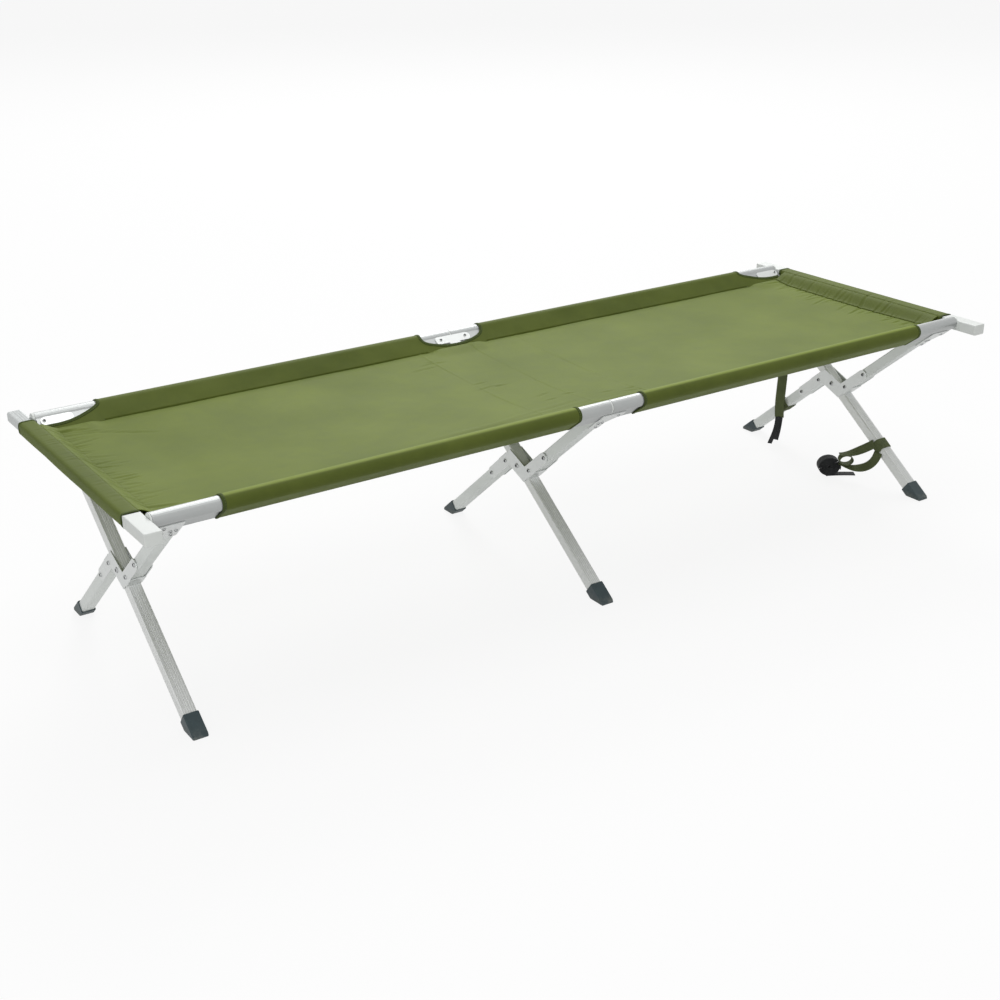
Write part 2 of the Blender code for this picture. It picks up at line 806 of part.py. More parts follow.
def build_foot(side_name, name, x, angle, axis_ground, outward, origin):
    """Plastic boot over a tube end with a flat chamfered sole on the ground."""
    ground = Vector((x, axis_ground, 0))
    frame = frame_matrix(ground, outward, Vector((0, 0, 1)), outward.cross(Vector((0, 0, 1))))
    half = LEG_WIDTH / 2 + CLEARANCE + CAP_WALL
    bore_w = LEG_WIDTH / 2 + CLEARANCE
    bore_d = LEG_DEPTH / 2 + CLEARANCE
    down = outward * math.cos(angle) - Vector((0, 0, math.sin(angle)))
    across = outward * math.sin(angle) + Vector((0, 0, math.cos(angle)))
    bore_frame = frame_matrix(ground, AXIS_X, down.cross(AXIS_X), down)
    box = [(-bore_w, -bore_d), (bore_w, -bore_d), (bore_w, bore_d), (-bore_w, bore_d)]
    floor = -(tube_end_lift(angle) - CLEARANCE)

    def build(shape):
        prism(shape, [foot_outline(angle)], frame, -half + CAP_EDGE, half - CAP_EDGE)
        rims = [v for v in shape.verts]
        caps = [f for f in shape.faces if len(f.verts) == 3]
        middle = sum((v.co for v in rims), Vector()) / len(rims)
        grown = bmesh.ops.extrude_face_region(shape, geom=caps)
        for v in [g for g in grown["geom"] if isinstance(g, bmesh.types.BMVert)]:
            side = math.copysign(1.0, v.co.x - x)
            v.co.x += side * CAP_EDGE
            for axis in (1, 2):
                v.co[axis] += (middle[axis] - v.co[axis]) * 0.05
            v.co.z = max(v.co.z, CAP_EDGE * 0.6)
        bmesh.ops.delete(shape, geom=caps, context="FACES_ONLY")
        face_outwards(shape, shape.faces[:])

    foot = solid(f"foot_{side_name}_{name}", foot_plastic(), build, origin)
    cut(foot, lambda shape: prism(shape, [box], bore_frame, -CAP_LENGTH - 0.02, floor))


# End bars

def bar_frame(hand):
    """Frame on the end bar's axis: u along the bed, v up, extruded along Y."""
    origin = Vector((END_SIGN[hand] * BAR_X, 0, BAR_Z))
    return frame_matrix(origin, -AXIS_X, Vector((0, 0, 1)), Vector((0, 1, 0)))


def bar_cap_runs(hand):
    """Stretches of the bar that a white cap covers, along Y."""
    half = BAR_LENGTH / 2
    runs = {"front": (-half, -half + BAR_CAP_LENGTH)}
    if hand == "right":
        runs["back"] = (half - BAR_CAP_BACK_LENGTH, half)
    return runs


def build_end_bar(hand):
    frame = bar_frame(hand)
    half = BAR_LENGTH / 2
    front = -half + BAR_CAP_END + CLEARANCE
    back = half if hand == "left" else half - BAR_CAP_END - CLEARANCE
    loops = tube_loops(BAR_WIDTH, BAR_HEIGHT, BAR_WALL, BAR_CORNER, 3)
    origin = Vector((END_SIGN[hand] * BAR_X, 0, BAR_Z))
    bar = solid(
        f"end_bar_{hand}",
        aluminium(),
        lambda shape: prism(shape, loops, frame, front, back),
        origin,
        math.radians(20),
    )
    sign = END_SIGN[hand]
    inner_face = sign * (BAR_X - BAR_WIDTH / 2)
    stud_place = frame_matrix(
        Vector((inner_face, RAIL_HEAD_A.y, BAR_Z)), Vector((0, 1, 0)), Vector((0, 0, 1)), AXIS_X * sign
    )

    def stud_hole(shape):
        prism(shape, [circle(STUD_RADIUS + 2 * CLEARANCE, ROUND_STEPS)], stud_place, -0.01, STUD_LENGTH + 0.002)

    cut(bar, stud_hole)
    for end, (start, stop) in bar_cap_runs(hand).items():
        build_bar_cap(hand, end, start, stop, stud_hole, origin)


def build_bar_cap(hand, end, start, stop, stud_hole, origin):
    """White moulded cap over a bar end, closed at its outer end."""
    frame = bar_frame(hand)
    w, h = CAP_OUTER_WIDTH / 2, CAP_OUTER_HEIGHT / 2
    r = BAR_CAP_CORNER
    corners = [(-w, -h), (w, -h), (w, h), (-w, h)]
    outline = rounded(corners, [r, r, r * 0.6, r * 0.6])
    bore_w, bore_h = BAR_WIDTH / 2 + CLEARANCE, BAR_HEIGHT / 2 + CLEARANCE
    bore = [(-bore_w, -bore_h), (bore_w, -bore_h), (bore_w, bore_h), (-bore_w, bore_h)]
    closed_start = start if end == "front" else stop - BAR_CAP_END
    closed_stop = start + BAR_CAP_END if end == "front" else stop

    def build(shape):
        prism(shape, [outline], frame, start, stop)

    def hollow(shape):
        low = closed_stop if end == "front" else start - 0.01
        high = stop + 0.01 if end == "front" else closed_start
        prism(shape, [bore], frame, low, high)
        if end == "back":
            stud_hole(shape)

    cap = solid(f"bar_cap_{hand}_{end}", white_plastic(), build, origin, math.radians(32))
    cut(cap, hollow)


# Canvas

def sheet_body(shape, upper, lower, keep=None, ring=False):
    """Closed thin body between two grids of points; cells that are left out cut the cloth away."""
    columns = len(upper[0])
    layers = [[[shape.verts.new(point) for point in row] for row in grid] for grid in (upper, lower)]
    rim = set()
    for i in range(len(upper) - 1):
        for k in range(columns if ring else columns - 1):
            if keep is not None and not keep(i, k):
                continue
            n = (k + 1) % columns
            corners = [(i, k), (i + 1, k), (i + 1, n), (i, n)]
            shape.faces.new([layers[0][row][column] for row, column in corners])
            shape.faces.new([layers[1][row][column] for row, column in reversed(corners)])
            for start, stop in zip(corners, corners[1:] + corners[:1]):
                if (stop, start) in rim:
                    rim.remove((stop, start))
                else:
                    rim.add((start, stop))
    for (row, column), (next_row, next_column) in sorted(rim):
        top = (layers[0][next_row][next_column], layers[0][row][column])
        shape.faces.new((*top, layers[1][row][column], layers[1][next_row][next_column]))
    loose = [vert for vert in shape.verts if not vert.link_faces]
    bmesh.ops.delete(shape, geom=loose, context="VERTS")
    face_outwards(shape, shape.faces[:])


def ease(t):
    t = min(max(t, 0.0), 1.0)
    return t * t * (3 - 2 * t)


def scoop_share(x):
    """Where x lies in a scoop of the cloth's edge: 0 at its start, and its full depth."""
    if abs(x) > SLEEVE_CORNER_END:
        return (abs(x) - SLEEVE_CORNER_END) / (SCOOP_LENGTH * 0.8), CORNER_SCOOP, 0.75
    half = (SLEEVE_GAP_RIGHT - SLEEVE_GAP_LEFT) / 2
    return min(x - SLEEVE_GAP_LEFT, SLEEVE_GAP_RIGHT - x) / half, MIDDLE_SCOOP, 0.4


def scoop_depth(x):
    """How far down the sleeve's inner wall the cloth is cut away at x."""
    share, depth, power = scoop_share(x)
    return depth * math.sin(math.pi / 2 * min(max(share, 0.0), 1.0)) ** power


def scoop_lift(x):
    """How far the free wall stands off the rail there, to pass over the bracket plates."""
    full = PLATE_THICKNESS + 2 * CLEARANCE - SLEEVE_SLACK * 0.8
    run = min(x - SLEEVE_GAP_LEFT, SLEEVE_GAP_RIGHT - x)
    if abs(x) > SLEEVE_CORNER_END:
        run = abs(x) - SLEEVE_CORNER_END
    return full * ease(run / SCOOP_RAMP)


def sleeve_section(x, grow):
    """Section round the rail in its frame: up the inner wall, over the head, down the outer side."""
    edge = TAIL_REACH + grow
    half = TAIL_THICKNESS / 2 + grow * 0.8
    radius = HEAD_RADIUS + grow
    top = scoop_depth(x)
    wall = []
    for k in range(WALL_STEPS + 1):
        down = edge - (edge - top) * k / WALL_STEPS
        wall.append((down, -(radius + (half - radius) * down / edge + scoop_lift(x))))
    head = arc((0, 0), radius, 270, 90, HEAD_STEPS)[1:]
    return wall + head + [(edge, half)]


def sleeve_stations(hand):
    """Places along the bed where the sleeve's section changes, from the corner to the middle."""
    corner = [SLEEVE_CORNER_END + SCOOP_LENGTH * t for t in (1.0, 0.8, 0.57, 0.36, 0.14, 0.05, 0.0)]
    half = (SLEEVE_GAP_RIGHT - SLEEVE_GAP_LEFT) / 2
    middle = [half * t for t in (0.0, 0.07, 0.25, 0.60)]
    if hand == "left":
        return [-x for x in corner] + [SLEEVE_GAP_LEFT + x for x in middle] + [RAIL_JOINT - CLEARANCE]
    return corner + [SLEEVE_GAP_RIGHT - x for x in middle] + [RAIL_JOINT + CLEARANCE]


def build_side_sleeves(side_name, head, up, side):
    """Sleeves round a rail; past their ends only the inner wall runs on, cut to a scoop."""
    for hand in ("left", "right"):
        stations = sleeve_stations(hand)

        def grid(grow):
            rows = []
            for x in stations:
                place = Vector((x, head.y, head.z))
                rows.append([place - up * u + side * v for u, v in sleeve_section(x, grow)])
            return rows

        def keep(i, k):
            x = (stations[i] + stations[i + 1]) / 2
            tube = abs(x) < SLEEVE_CORNER_END and not SLEEVE_GAP_LEFT < x < SLEEVE_GAP_RIGHT
            return tube or k < WALL_STEPS

        solid(
            f"sleeve_{side_name}_{hand}",
            canvas(),
            lambda shape: sheet_body(shape, grid(SLEEVE_SLACK + CLOTH), grid(SLEEVE_SLACK), keep, True),
            None if side_name == "back" else PIVOT,
            math.radians(40),
        )


def panel_edge_point():
    """Inner upper corner of the back sleeve's tail, where the panel leaves it, as (y, z)."""
    grow = SLEEVE_SLACK + CLOTH
    corner = RAIL_HEAD_A - UP_A * (TAIL_REACH + grow) - SIDE_A * (TAIL_THICKNESS / 2 + grow)
    return corner.y, corner.z


def panel_half_width(x):
    """Half width of the panel at x; beside a scoop it stops short of the lifted wall."""
    return panel_edge_point()[0] - 2 * CLEARANCE - 4 * CLEARANCE * scoop_lift(x) / scoop_lift(RAIL_END)


def panel_height(x, y):
    """Height of the panel's top face: sagging between the rails, raised where it passes the leg tops."""
    half = panel_half_width(x)
    across = y / half
    near_end = ease((abs(x) - SLEEVE_CORNER_END + SCOOP_LENGTH / 2) / (1.5 * SCOOP_LENGTH))
    sag = PANEL_SAG * (1 - (1 - END_SAG_SHARE) * near_end)
    raised = EDGE_RAISE * scoop_lift(x) / scoop_lift(RAIL_END)
    raised *= ease(1 - (half - abs(y)) / EDGE_RAISE_WIDTH)
    return panel_edge_point()[1] - PANEL_DROP - sag * (1 - across * across) + raised


def panel_end():
    return BAR_X - BAR_WIDTH / 2 - PANEL_END_GAP


def panel_stations():
    end = panel_end()
    corner = SLEEVE_CORNER_END + SCOOP_RAMP
    stops = [
        (-end, -corner, 2),
        (-corner, -SLEEVE_CORNER_END, 2),
        (-SLEEVE_CORNER_END, SLEEVE_GAP_LEFT, 5),
        (SLEEVE_GAP_LEFT, SLEEVE_GAP_LEFT + SCOOP_RAMP, 2),
        (SLEEVE_GAP_LEFT + SCOOP_RAMP, SLEEVE_GAP_RIGHT - SCOOP_RAMP, 2),
        (SLEEVE_GAP_RIGHT - SCOOP_RAMP, SLEEVE_GAP_RIGHT, 2),
        (SLEEVE_GAP_RIGHT, SLEEVE_CORNER_END, 5),
        (SLEEVE_CORNER_END, corner, 2),
        (corner, end, 2),
    ]
    stations = [start + (stop - start) * k / count for start, stop, count in stops for k in range(count)]
    return stations + [end]


def panel_places(half):
    """Places across the panel, closer together at its raised edges."""
    inner = half - EDGE_RAISE_WIDTH
    edge = [half - EDGE_RAISE_WIDTH * t for t in (0.0, 0.33, 0.67)]
    steps = 6
    middle = [inner - 2 * inner * k / steps for k in range(steps + 1)]
    return edge + middle + [-y for y in reversed(edge)]


def build_panel():
    """Stretched canvas between the sleeves, as one closed sheet."""

    def grid(drop):
        return [
            [Vector((x, y, panel_height(x, y) - drop)) for y in panel_places(panel_half_width(x))]
            for x in panel_stations()
        ]

    solid(
        "canvas_panel",
        canvas(),
        lambda shape: sheet_body(shape, grid(0.0), grid(PANEL_THICKNESS)),
        None,
        math.radians(50),
    )


def build_end_sleeve(hand):
    """Sleeve round the end bar between the rails, and the flap that slopes down from it over the panel."""
    frame = bar_frame(hand)
    sign = END_SIGN[hand]

    def loop(grow):
        w, h = BAR_WIDTH / 2 + grow, BAR_HEIGHT / 2 + grow
        return rounded([(-w, -h), (w, -h), (w, h), (-w, h)], [BAR_CORNER + grow] * 4, 3)

    inner = CLEARANCE
    start = -BAR_LENGTH / 2 + BAR_CAP_LENGTH + END_SLEEVE_GAP
    stop = BAR_LENGTH / 2 - BAR_CAP_BACK_LENGTH - END_SLEEVE_GAP
    if hand == "left":
        stop = RAIL_SPACING / 2 - HEAD_RADIUS - END_SLEEVE_GAP
    sleeve = solid(
        f"end_sleeve_{hand}",
        canvas(),
        lambda shape: prism(shape, [loop(inner + CLOTH), loop(inner)], frame, start, stop),
        Vector((sign * BAR_X, 0, BAR_Z)),
        math.radians(40),
    )
    top_x = BAR_X - BAR_WIDTH / 2 - inner - CLOTH / 2
    foot_x = top_x - FLAP_LENGTH
    top_z = BAR_Z + BAR_HEIGHT / 2 - FLAP_TOP
    half = panel_half_width(foot_x) - FLAP_INSET
    steps = 14

    def flap(side):
        rows = []
        for i in range(steps + 1):
            y = half * (1 - 2 * i / steps)
            foot_z = panel_height(foot_x, y) + CLEARANCE + CLOTH * 0.6
            row = []
            for t in (0.0, 0.5, 1.0):
                rise = foot_z + (top_z - foot_z) * (0.6 * t + 0.4 * ease(t))
                row.append(Vector((sign * (foot_x + (top_x - foot_x) * t), y, rise + side * CLOTH * 0.6)))
            rows.append(row)
        return rows

    join(sleeve, lambda shape: sheet_body(shape, flap(1), flap(-1)))


# Webbing straps on the right leg set

def strap_loop(shape, x, axis, up, side, reach):
    """A webbing band once round a leg tube."""
    centre = axis + up * reach
    frame = frame_matrix(Vector((x, centre.y, centre.z)), side.cross(up), side, up)

    def loop(grow):
        w, d = LEG_WIDTH / 2 + grow, LEG_DEPTH / 2 + grow
        return rounded([(-w, -d), (w, -d), (w, d), (-w, d)], [0.002 + grow] * 4, 2)

    inner = STRAP_SLACK
    prism(shape, [loop(inner + STRAP_THICKNESS), loop(inner)], frame, -STRAP_WIDTH / 2, STRAP_WIDTH / 2)


def band(shape, route, across, thickness, width, last_across=None):
    """A flat band along a route of points; across is its width direction, and may turn to another."""
    rows = []
    for i, point in enumerate(route):
        before = route[max(i - 1, 0)]
        after = route[min(i + 1, len(route) - 1)]
        along = (after - before).normalized()
        turned = across if last_across is None else across.lerp(last_across, i / (len(route) - 1))
        normal = along.cross(turned).normalized()
        wide = normal.cross(along).normalized()
        rows.append(
            [
                shape.verts.new(point + wide * width / 2 * a + normal * thickness / 2 * b)
                for a, b in ((-1, -1), (1, -1), (1, 1), (-1, 1))
            ]
        )
    faces = [shape.faces.new(rows[0]), shape.faces.new(list(reversed(rows[-1])))]
    for low, high in zip(rows, rows[1:]):
        for k, n in ((0, 1), (3, 2)):
            faces.append(shape.faces.new((low[k], low[n], high[n])))
            faces.append(shape.faces.new((low[k], high[n], high[k])))
        for k, n in ((1, 2), (3, 0)):
            faces.append(shape.faces.new((low[k], low[n], high[n], high[k])))
    face_outwards(shape, faces)


def build_back_strap():
    """Olive strap down from the canvas past the long leg to a loop on the right back leg, and its tails."""
    x = LEG_SETS["right"]
    axis = PIVOT - SIDE_B * CRANK_OFFSET
    spot = axis - UP_B * BACK_STRAP_REACH
    side_x = x - LEG_WIDTH / 2 - STRAP_SLACK - STRAP_THICKNESS / 2
    top_z = panel_height(side_x, spot.y) - PANEL_THICKNESS - STRAP_TOP_GAP
    wide = Vector((0, 1, 0))

    def loop(shape):
        strap_loop(shape, x, axis, UP_B, SIDE_B, -BACK_STRAP_REACH)

    def drop(shape):
        steps = 8
        route = []
        for k in range(steps + 1):
            bow = STRAP_BOW * math.sin(math.pi * k / steps)
            route.append(Vector((side_x - bow, spot.y, spot.z + (top_z - spot.z) * k / steps)))
        low = Vector((side_x, spot.y, spot.z - STRAP_BELOW_LEG))
        band(shape, [low] + route, wide, STRAP_THICKNESS, STRAP_WIDTH)

    join(solid("strap_back", olive_webbing(), loop, PIVOT), drop)
    start = spot.z - STRAP_BELOW_LEG - 2 * CLEARANCE

    def tail(shape, lean, length):
        steps = 6
        route = []
        for k in range(steps + 1):
            t = k / steps
            route.append(Vector((side_x + lean * t * t, spot.y - abs(lean) * t * t / 2, start - length * t)))
        band(shape, route, wide, STRAP_THICKNESS, TAIL_WIDTH)

    tails = solid(
        "strap_back_tails", black_webbing(), lambda shape: tail(shape, -TAIL_SPREAD, TAIL_LENGTH * 0.86), PIVOT
    )
    join(tails, lambda shape: tail(shape, TAIL_SPREAD / 3, TAIL_LENGTH))


def spiral_band(turns, core, gap, thickness, steps):
    """Outline of a flat band rolled up in a spiral, outer side first."""
    pitch = gap + thickness
    outer, inner = [], []
    for k in range(turns * steps + 1):
        a = 2 * math.pi * k / steps
        r = core + pitch * k / steps
        outer.append(((r + thickness) * math.cos(a), (r + thickness) * math.sin(a)))
        inner.append((r * math.cos(a), r * math.sin(a)))
    return outer + inner[::-1]


def curve_towards(start, aim, end, steps):
    """Points on a smooth line that leaves start towards aim and comes in to end from it."""
    turns = [k / steps for k in range(steps + 1)]
    return [start * (1 - t) ** 2 + aim * 2 * t * (1 - t) + end * t**2 for t in turns]


def build_front_strap():
    """Olive strap on the right front leg: a loop, two runs that meet and a rolled black tail."""
    x = LEG_SETS["right"]
    spot = PIVOT - UP_A * FRONT_STRAP_REACH
    side_x = x - LEG_WIDTH / 2 - STRAP_SLACK - STRAP_THICKNESS / 2
    pitch = ROLL_GAP + STRAP_THICKNESS
    reach = ROLL_CORE + ROLL_TURNS * pitch + STRAP_THICKNESS
    toward = Vector((-math.sin(ROLL_HEADING), -math.cos(ROLL_HEADING), 0))
    right = Vector((math.cos(ROLL_HEADING), -math.sin(ROLL_HEADING), 0))
    centre = Vector((*ROLL_SPOT, reach - pitch / 4 + CLEARANCE))
    slider = centre + right * (reach + CLEARANCE)
    leg_side = Vector((side_x, spot.y, spot.z))

    def loop(shape):
        strap_loop(shape, x, PIVOT, UP_A, SIDE_A, -FRONT_STRAP_REACH)

    bend = slider + right * STRAP_LEAD * 1.5
    lift = Vector((0, 0, STRAP_THICKNESS))
    drop = Vector((0, 0, STRAP_EYE_DROP))

    def run(shape, start, aim, end, width):
        lead = start + right * STRAP_LEAD / 2
        points = [start] + curve_towards(lead, aim, end, 6)
        flat = AXIS_X.cross(points[-1] - points[-2]).normalized()
        band(shape, points, toward, STRAP_THICKNESS, width, flat)

    strap = solid("strap_front", olive_webbing(), loop)
    upper_end = leg_side + lift * 3
    lower_end = leg_side - lift * 3
    lower_start = slider + right * STRAP_LEAD / 4 - lift * 0.3
    lower_aim = (bend + lower_end) / 2 - drop
    join(strap, lambda shape: run(shape, slider, bend, upper_end, STRAP_WIDTH * 0.8))
    join(strap, lambda shape: run(shape, lower_start, lower_aim, lower_end, STRAP_WIDTH * 0.76))
    frame = frame_matrix(centre, right, Vector((0, 0, 1)), toward)
    outline = spiral_band(ROLL_TURNS, ROLL_CORE, ROLL_GAP, STRAP_THICKNESS, BORE_STEPS)
    solid(
        "strap_front_roll",
        black_webbing(),
        lambda shape: prism(shape, [outline], frame, -STRAP_WIDTH / 2, STRAP_WIDTH / 2),
        None,
        math.radians(40),
    )
    least_gap = ROLL_GAP * 1000 * math.cos(math.pi / BORE_STEPS)
    print("least gap between the rolled strap's turns in millimetres", round(least_gap, 3))


def build():
    clear_scene()
    sides = {"back": (RAIL_HEAD_A, UP_A, SIDE_A), "front": (RAIL_HEAD_B, UP_B, SIDE_B)}
    for side_name, (head, up, side) in sides.items():
        build_rail(side_name, head, up, side)
        build_ring(side_name, head, up, side)
        for hand in ("left", "right"):
            build_plug(side_name, hand, head, up, side, side_name == "back")
        build_brackets(side_name, head, up, side)
        build_side_sleeves(side_name, head, up, side)
    for name, x in LEG_SETS.items():
        build_long_leg(name, x)
        build_half_legs(name, x)
        build_crank(name, x)
        build_pivot(name, x)
        ground_a = -SOLE_REACH_A * math.cos(ANGLE_A)
        ground_b = (PIVOT - SIDE_B * CRANK_OFFSET - UP_B * SOLE_REACH_B).y
        build_foot("front", name, x, ANGLE_A, ground_a, Vector((0, -1, 0)), None)
        build_foot("back", name, x, ANGLE_B, ground_b, Vector((0, 1, 0)), PIVOT)
    for hand in ("left", "right"):
        build_end_bar(hand)
        build_end_sleeve(hand)
    build_panel()
    build_back_strap()
    build_front_strap()
    print("fold range in degrees", round(math.degrees(FOLD_RANGE), 3))


build()
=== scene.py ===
# %% [markdown]
# # A folding camp bed
# The bed is a canvas stretched between two round-headed side rails, on three crossed leg sets.
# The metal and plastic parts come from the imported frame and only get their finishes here.
# The cloth and the webbing are built here, because woven goods need finer shapes than a solid.
# X runs along the bed, Y from the front rail to the back rail, and the feet stand on z = 0.

# %% Frame
import math
import random

import bmesh
import bpy
from mathutils import Matrix, Vector


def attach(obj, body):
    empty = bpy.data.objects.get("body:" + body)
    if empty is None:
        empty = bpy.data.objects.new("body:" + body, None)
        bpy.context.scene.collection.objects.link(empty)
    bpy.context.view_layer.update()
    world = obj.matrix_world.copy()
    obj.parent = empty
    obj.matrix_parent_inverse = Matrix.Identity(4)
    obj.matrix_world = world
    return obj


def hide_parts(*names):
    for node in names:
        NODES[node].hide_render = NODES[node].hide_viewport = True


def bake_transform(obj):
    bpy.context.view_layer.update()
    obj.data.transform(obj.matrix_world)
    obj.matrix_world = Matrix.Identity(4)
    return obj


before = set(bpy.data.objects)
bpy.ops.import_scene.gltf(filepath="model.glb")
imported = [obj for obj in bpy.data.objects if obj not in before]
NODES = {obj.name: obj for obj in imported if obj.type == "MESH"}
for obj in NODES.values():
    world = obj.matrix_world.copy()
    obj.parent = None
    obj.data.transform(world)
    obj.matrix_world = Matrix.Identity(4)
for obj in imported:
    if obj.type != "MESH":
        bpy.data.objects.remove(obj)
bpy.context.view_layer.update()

# %% [markdown]
# ## Camera
# The viewpoint was found by matching leg rivets, feet and rail ends to the picture.
# The lens is a short telephoto, and a very small shift puts the bed where the picture has it.
# The camera's axes are worked out from three plain angles, so that each can be changed alone.

# %% Camera
LENS = 54.05
AZIMUTH = math.radians(-33.184)
ELEVATION = math.radians(22.357)
ROLL = math.radians(-0.769)
EYE = Vector((-1.65257, -2.32663, 1.33301))
SHIFT = (0.022, -0.020)
SENSOR = 36
NEAREST, FARTHEST = 0.05, 60


def put(name, data):
    """An object of the given data, linked to the scene."""
    made = bpy.data.objects.new(name, data)
    bpy.context.scene.collection.objects.link(made)
    return made


def place_camera():
    flat = math.cos(ELEVATION)
    back = Vector((math.sin(AZIMUTH) * flat, -math.cos(AZIMUTH) * flat, math.sin(ELEVATION)))
    right = Vector((0, 0, 1)).cross(back).normalized()
    up = back.cross(right)
    level = Matrix((right, up, back)).transposed()
    camera = put("camera", bpy.data.cameras.new("camera"))
    camera.matrix_world = Matrix.Translation(EYE) @ (level @ Matrix.Rotation(ROLL, 3, "Z")).to_4x4()
    camera.data.sensor_width = SENSOR
    camera.data.lens = LENS
    camera.data.shift_x, camera.data.shift_y = SHIFT
    camera.data.clip_start = NEAREST
    camera.data.clip_end = FARTHEST
    bpy.context.scene.camera = camera


place_camera()
print("camera stands", round(EYE.length, 2), "m from the middle of the bed")

# %% [markdown]
# ## Light
# In the picture the top of the cloth is bright, while the faces towards the viewer are darker.
# So the main soft light stands behind and to the right, high up, and the front gets only fill.
# Each lamp has a place, a height above the origin that it aims at, a size, and a power in watts.

# %% Light
LAMPS = {
    "key": ((3.6, 5.6, 5.6), 0.3, (4.2, 3.2), 325),
    "top": ((0, 0.2, 3.2), 0.3, (3.0, 2.0), 30),
    "fill": ((-3.6, -4.8, 1.9), 0.2, (3.4, 2.2), 88),
}


def soft_light(name, spot, aim, size, watts):
    data = bpy.data.lights.new(name, "AREA")
    data.shape = "RECTANGLE"
    data.size, data.size_y = size
    data.energy = watts
    lamp = put(name, data)
    lamp.location = spot
    lamp.rotation_euler = (Vector((0, 0, aim)) - Vector(spot)).to_track_quat("-Z", "Y").to_euler()


for name, (spot, aim, size, watts) in LAMPS.items():
    soft_light(name, spot, aim, size, watts)
bpy.context.scene.view_settings.view_transform = "Standard"
print("lamps", list(LAMPS))

# %% [markdown]
# ## Writing shader maths as plain expressions
# A node tree is easier to read when it is written as sums and products.
# `Wire` wraps one socket: adding or multiplying wires adds the Math node for it.
# `Finish` is one material; its `node` method makes any other node from its settings and sockets.

# %% Shader tools
WHITE = (1, 1, 1, 1)


class Wire:
    """One value socket of a finish, with operators that add Math nodes."""

    def __init__(self, finish, socket):
        self.finish = finish
        self.socket = socket

    def _math(self, operation, *values):
        return self.finish.node("ShaderNodeMath", {"operation": operation}, dict(enumerate(values)))

    def __add__(self, other):
        return self._math("ADD", self, other)

    def __radd__(self, other):
        return self._math("ADD", other, self)

    def __sub__(self, other):
        return self._math("SUBTRACT", self, other)

    def __rsub__(self, other):
        return self._math("SUBTRACT", other, self)

    def __mul__(self, other):
        return self._math("MULTIPLY", self, other)

    def __lt__(self, other):
        return self._math("LESS_THAN", self, other)

    def sine(self):
        return self._math("SINE", self)

    def size(self):
        return self._math("ABSOLUTE", self)

    def least(self, other):
        return self._math("MINIMUM", self, other)

    def most(self, other):
        return self._math("MAXIMUM", self, other)

    def between(self, low, high):
        """0 below low, 1 above high, and a smooth step between them."""
        settings = {"interpolation_type": "SMOOTHSTEP"}
        inputs = {"Value": self, "From Min": low, "From Max": high}
        return self.finish.node("ShaderNodeMapRange", settings, inputs)


class Finish:
    """A material, or the surroundings; `set` feeds the shader's own sockets and hands the result over."""

    def __init__(self, name, world=None):
        self.material = world or bpy.data.materials.new(name)
        self.material.use_nodes = True
        self.tree = self.material.node_tree
        self.shader = self.tree.nodes["Background" if world else "Principled BSDF"]

    def node(self, kind, settings=None, inputs=None, output=0):
        made = self.tree.nodes.new(kind)
        for key, value in (settings or {}).items():
            setattr(made, key, value)
        for key, value in (inputs or {}).items():
            self.feed(made.inputs[key], value)
        return Wire(self, made.outputs[output])

    def feed(self, socket, value):
        if isinstance(value, Wire):
            self.tree.links.new(value.socket, socket)
        else:
            socket.default_value = value

    def set(self, **values):
        for key, value in values.items():
            self.feed(self.shader.inputs[key.replace("_", " ")], value)
        return self.material

    def place(self):
        """Where the point lies on the resting part, in metres."""
        return self.node("ShaderNodeTexCoord", output="Object")

    def thread(self):
        """The cloth's own coordinates, in metres along its two threads."""
        return self.node("ShaderNodeTexCoord", output="UV")

    def vector(self, operation, *values, output=0):
        return self.node("ShaderNodeVectorMath", {"operation": operation}, dict(enumerate(values)), output)

    def parts(self, vector):
        split = self.node("ShaderNodeSeparateXYZ", inputs={0: vector})
        return [Wire(self, s) for s in split.socket.node.outputs]

    def noise(self, vector, scale, detail=2.0, rough=0.5):
        inputs = {"Vector": vector, "Scale": scale, "Detail": detail, "Roughness": rough}
        return self.node("ShaderNodeTexNoise", {"noise_dimensions": "3D"}, inputs)

    def blend(self, share, low, high):
        """A colour between two colours."""
        low, high = ((*c, 1.0) if isinstance(c, tuple) else c for c in (low, high))
        return self.node("ShaderNodeMix", {"data_type": "RGBA"}, {0: share, 6: low, 7: high}, 2)

    def relief(self, height, depth, strength):
        """A bumped surface direction; the depth is in metres."""
        return self.node("ShaderNodeBump", {}, {"Height": height, "Distance": depth, "Strength": strength})

    def show_white(self, end, share=1.0):
        """Mixes in plain white, only for the rays that the camera and mirrors see."""
        kinds = self.node("ShaderNodeLightPath").socket.node.outputs
        seen, mirrored = (Wire(self, kinds[kind]) for kind in ("Is Camera Ray", "Is Glossy Ray"))
        kind = "ShaderNodeBackground" if end == "World Output" else "ShaderNodeEmission"
        white = self.node(kind, inputs={"Color": WHITE, "Strength": 1.0})
        inputs = {0: seen.most(mirrored) * share, 1: Wire(self, self.shader.outputs[0]), 2: white}
        mixed = self.node("ShaderNodeMixShader", inputs=inputs)
        self.feed(self.tree.nodes[end].inputs["Surface"], mixed)
        return seen


def stretched(finish, point, along, squeeze):
    """The point with its travel along one direction squeezed, so that noise turns into long lines."""
    travel = finish.vector("DOT_PRODUCT", point, along, output=1)
    back = finish.vector("SCALE", along)
    finish.feed(back.socket.node.inputs["Scale"], travel * (1 - squeeze))
    return finish.vector("SUBTRACT", point, back)


def linear(red, green, blue):
    """A colour picked as 0 to 255 values on a screen, turned into light."""
    values = (red / 255, green / 255, blue / 255)
    return tuple(v / 12.92 if v <= 0.04045 else ((v + 0.055) / 1.055) ** 2.4 for v in values)


def toned(colour, share):
    """The same colour, lighter or darker."""
    return tuple(c * share for c in colour)


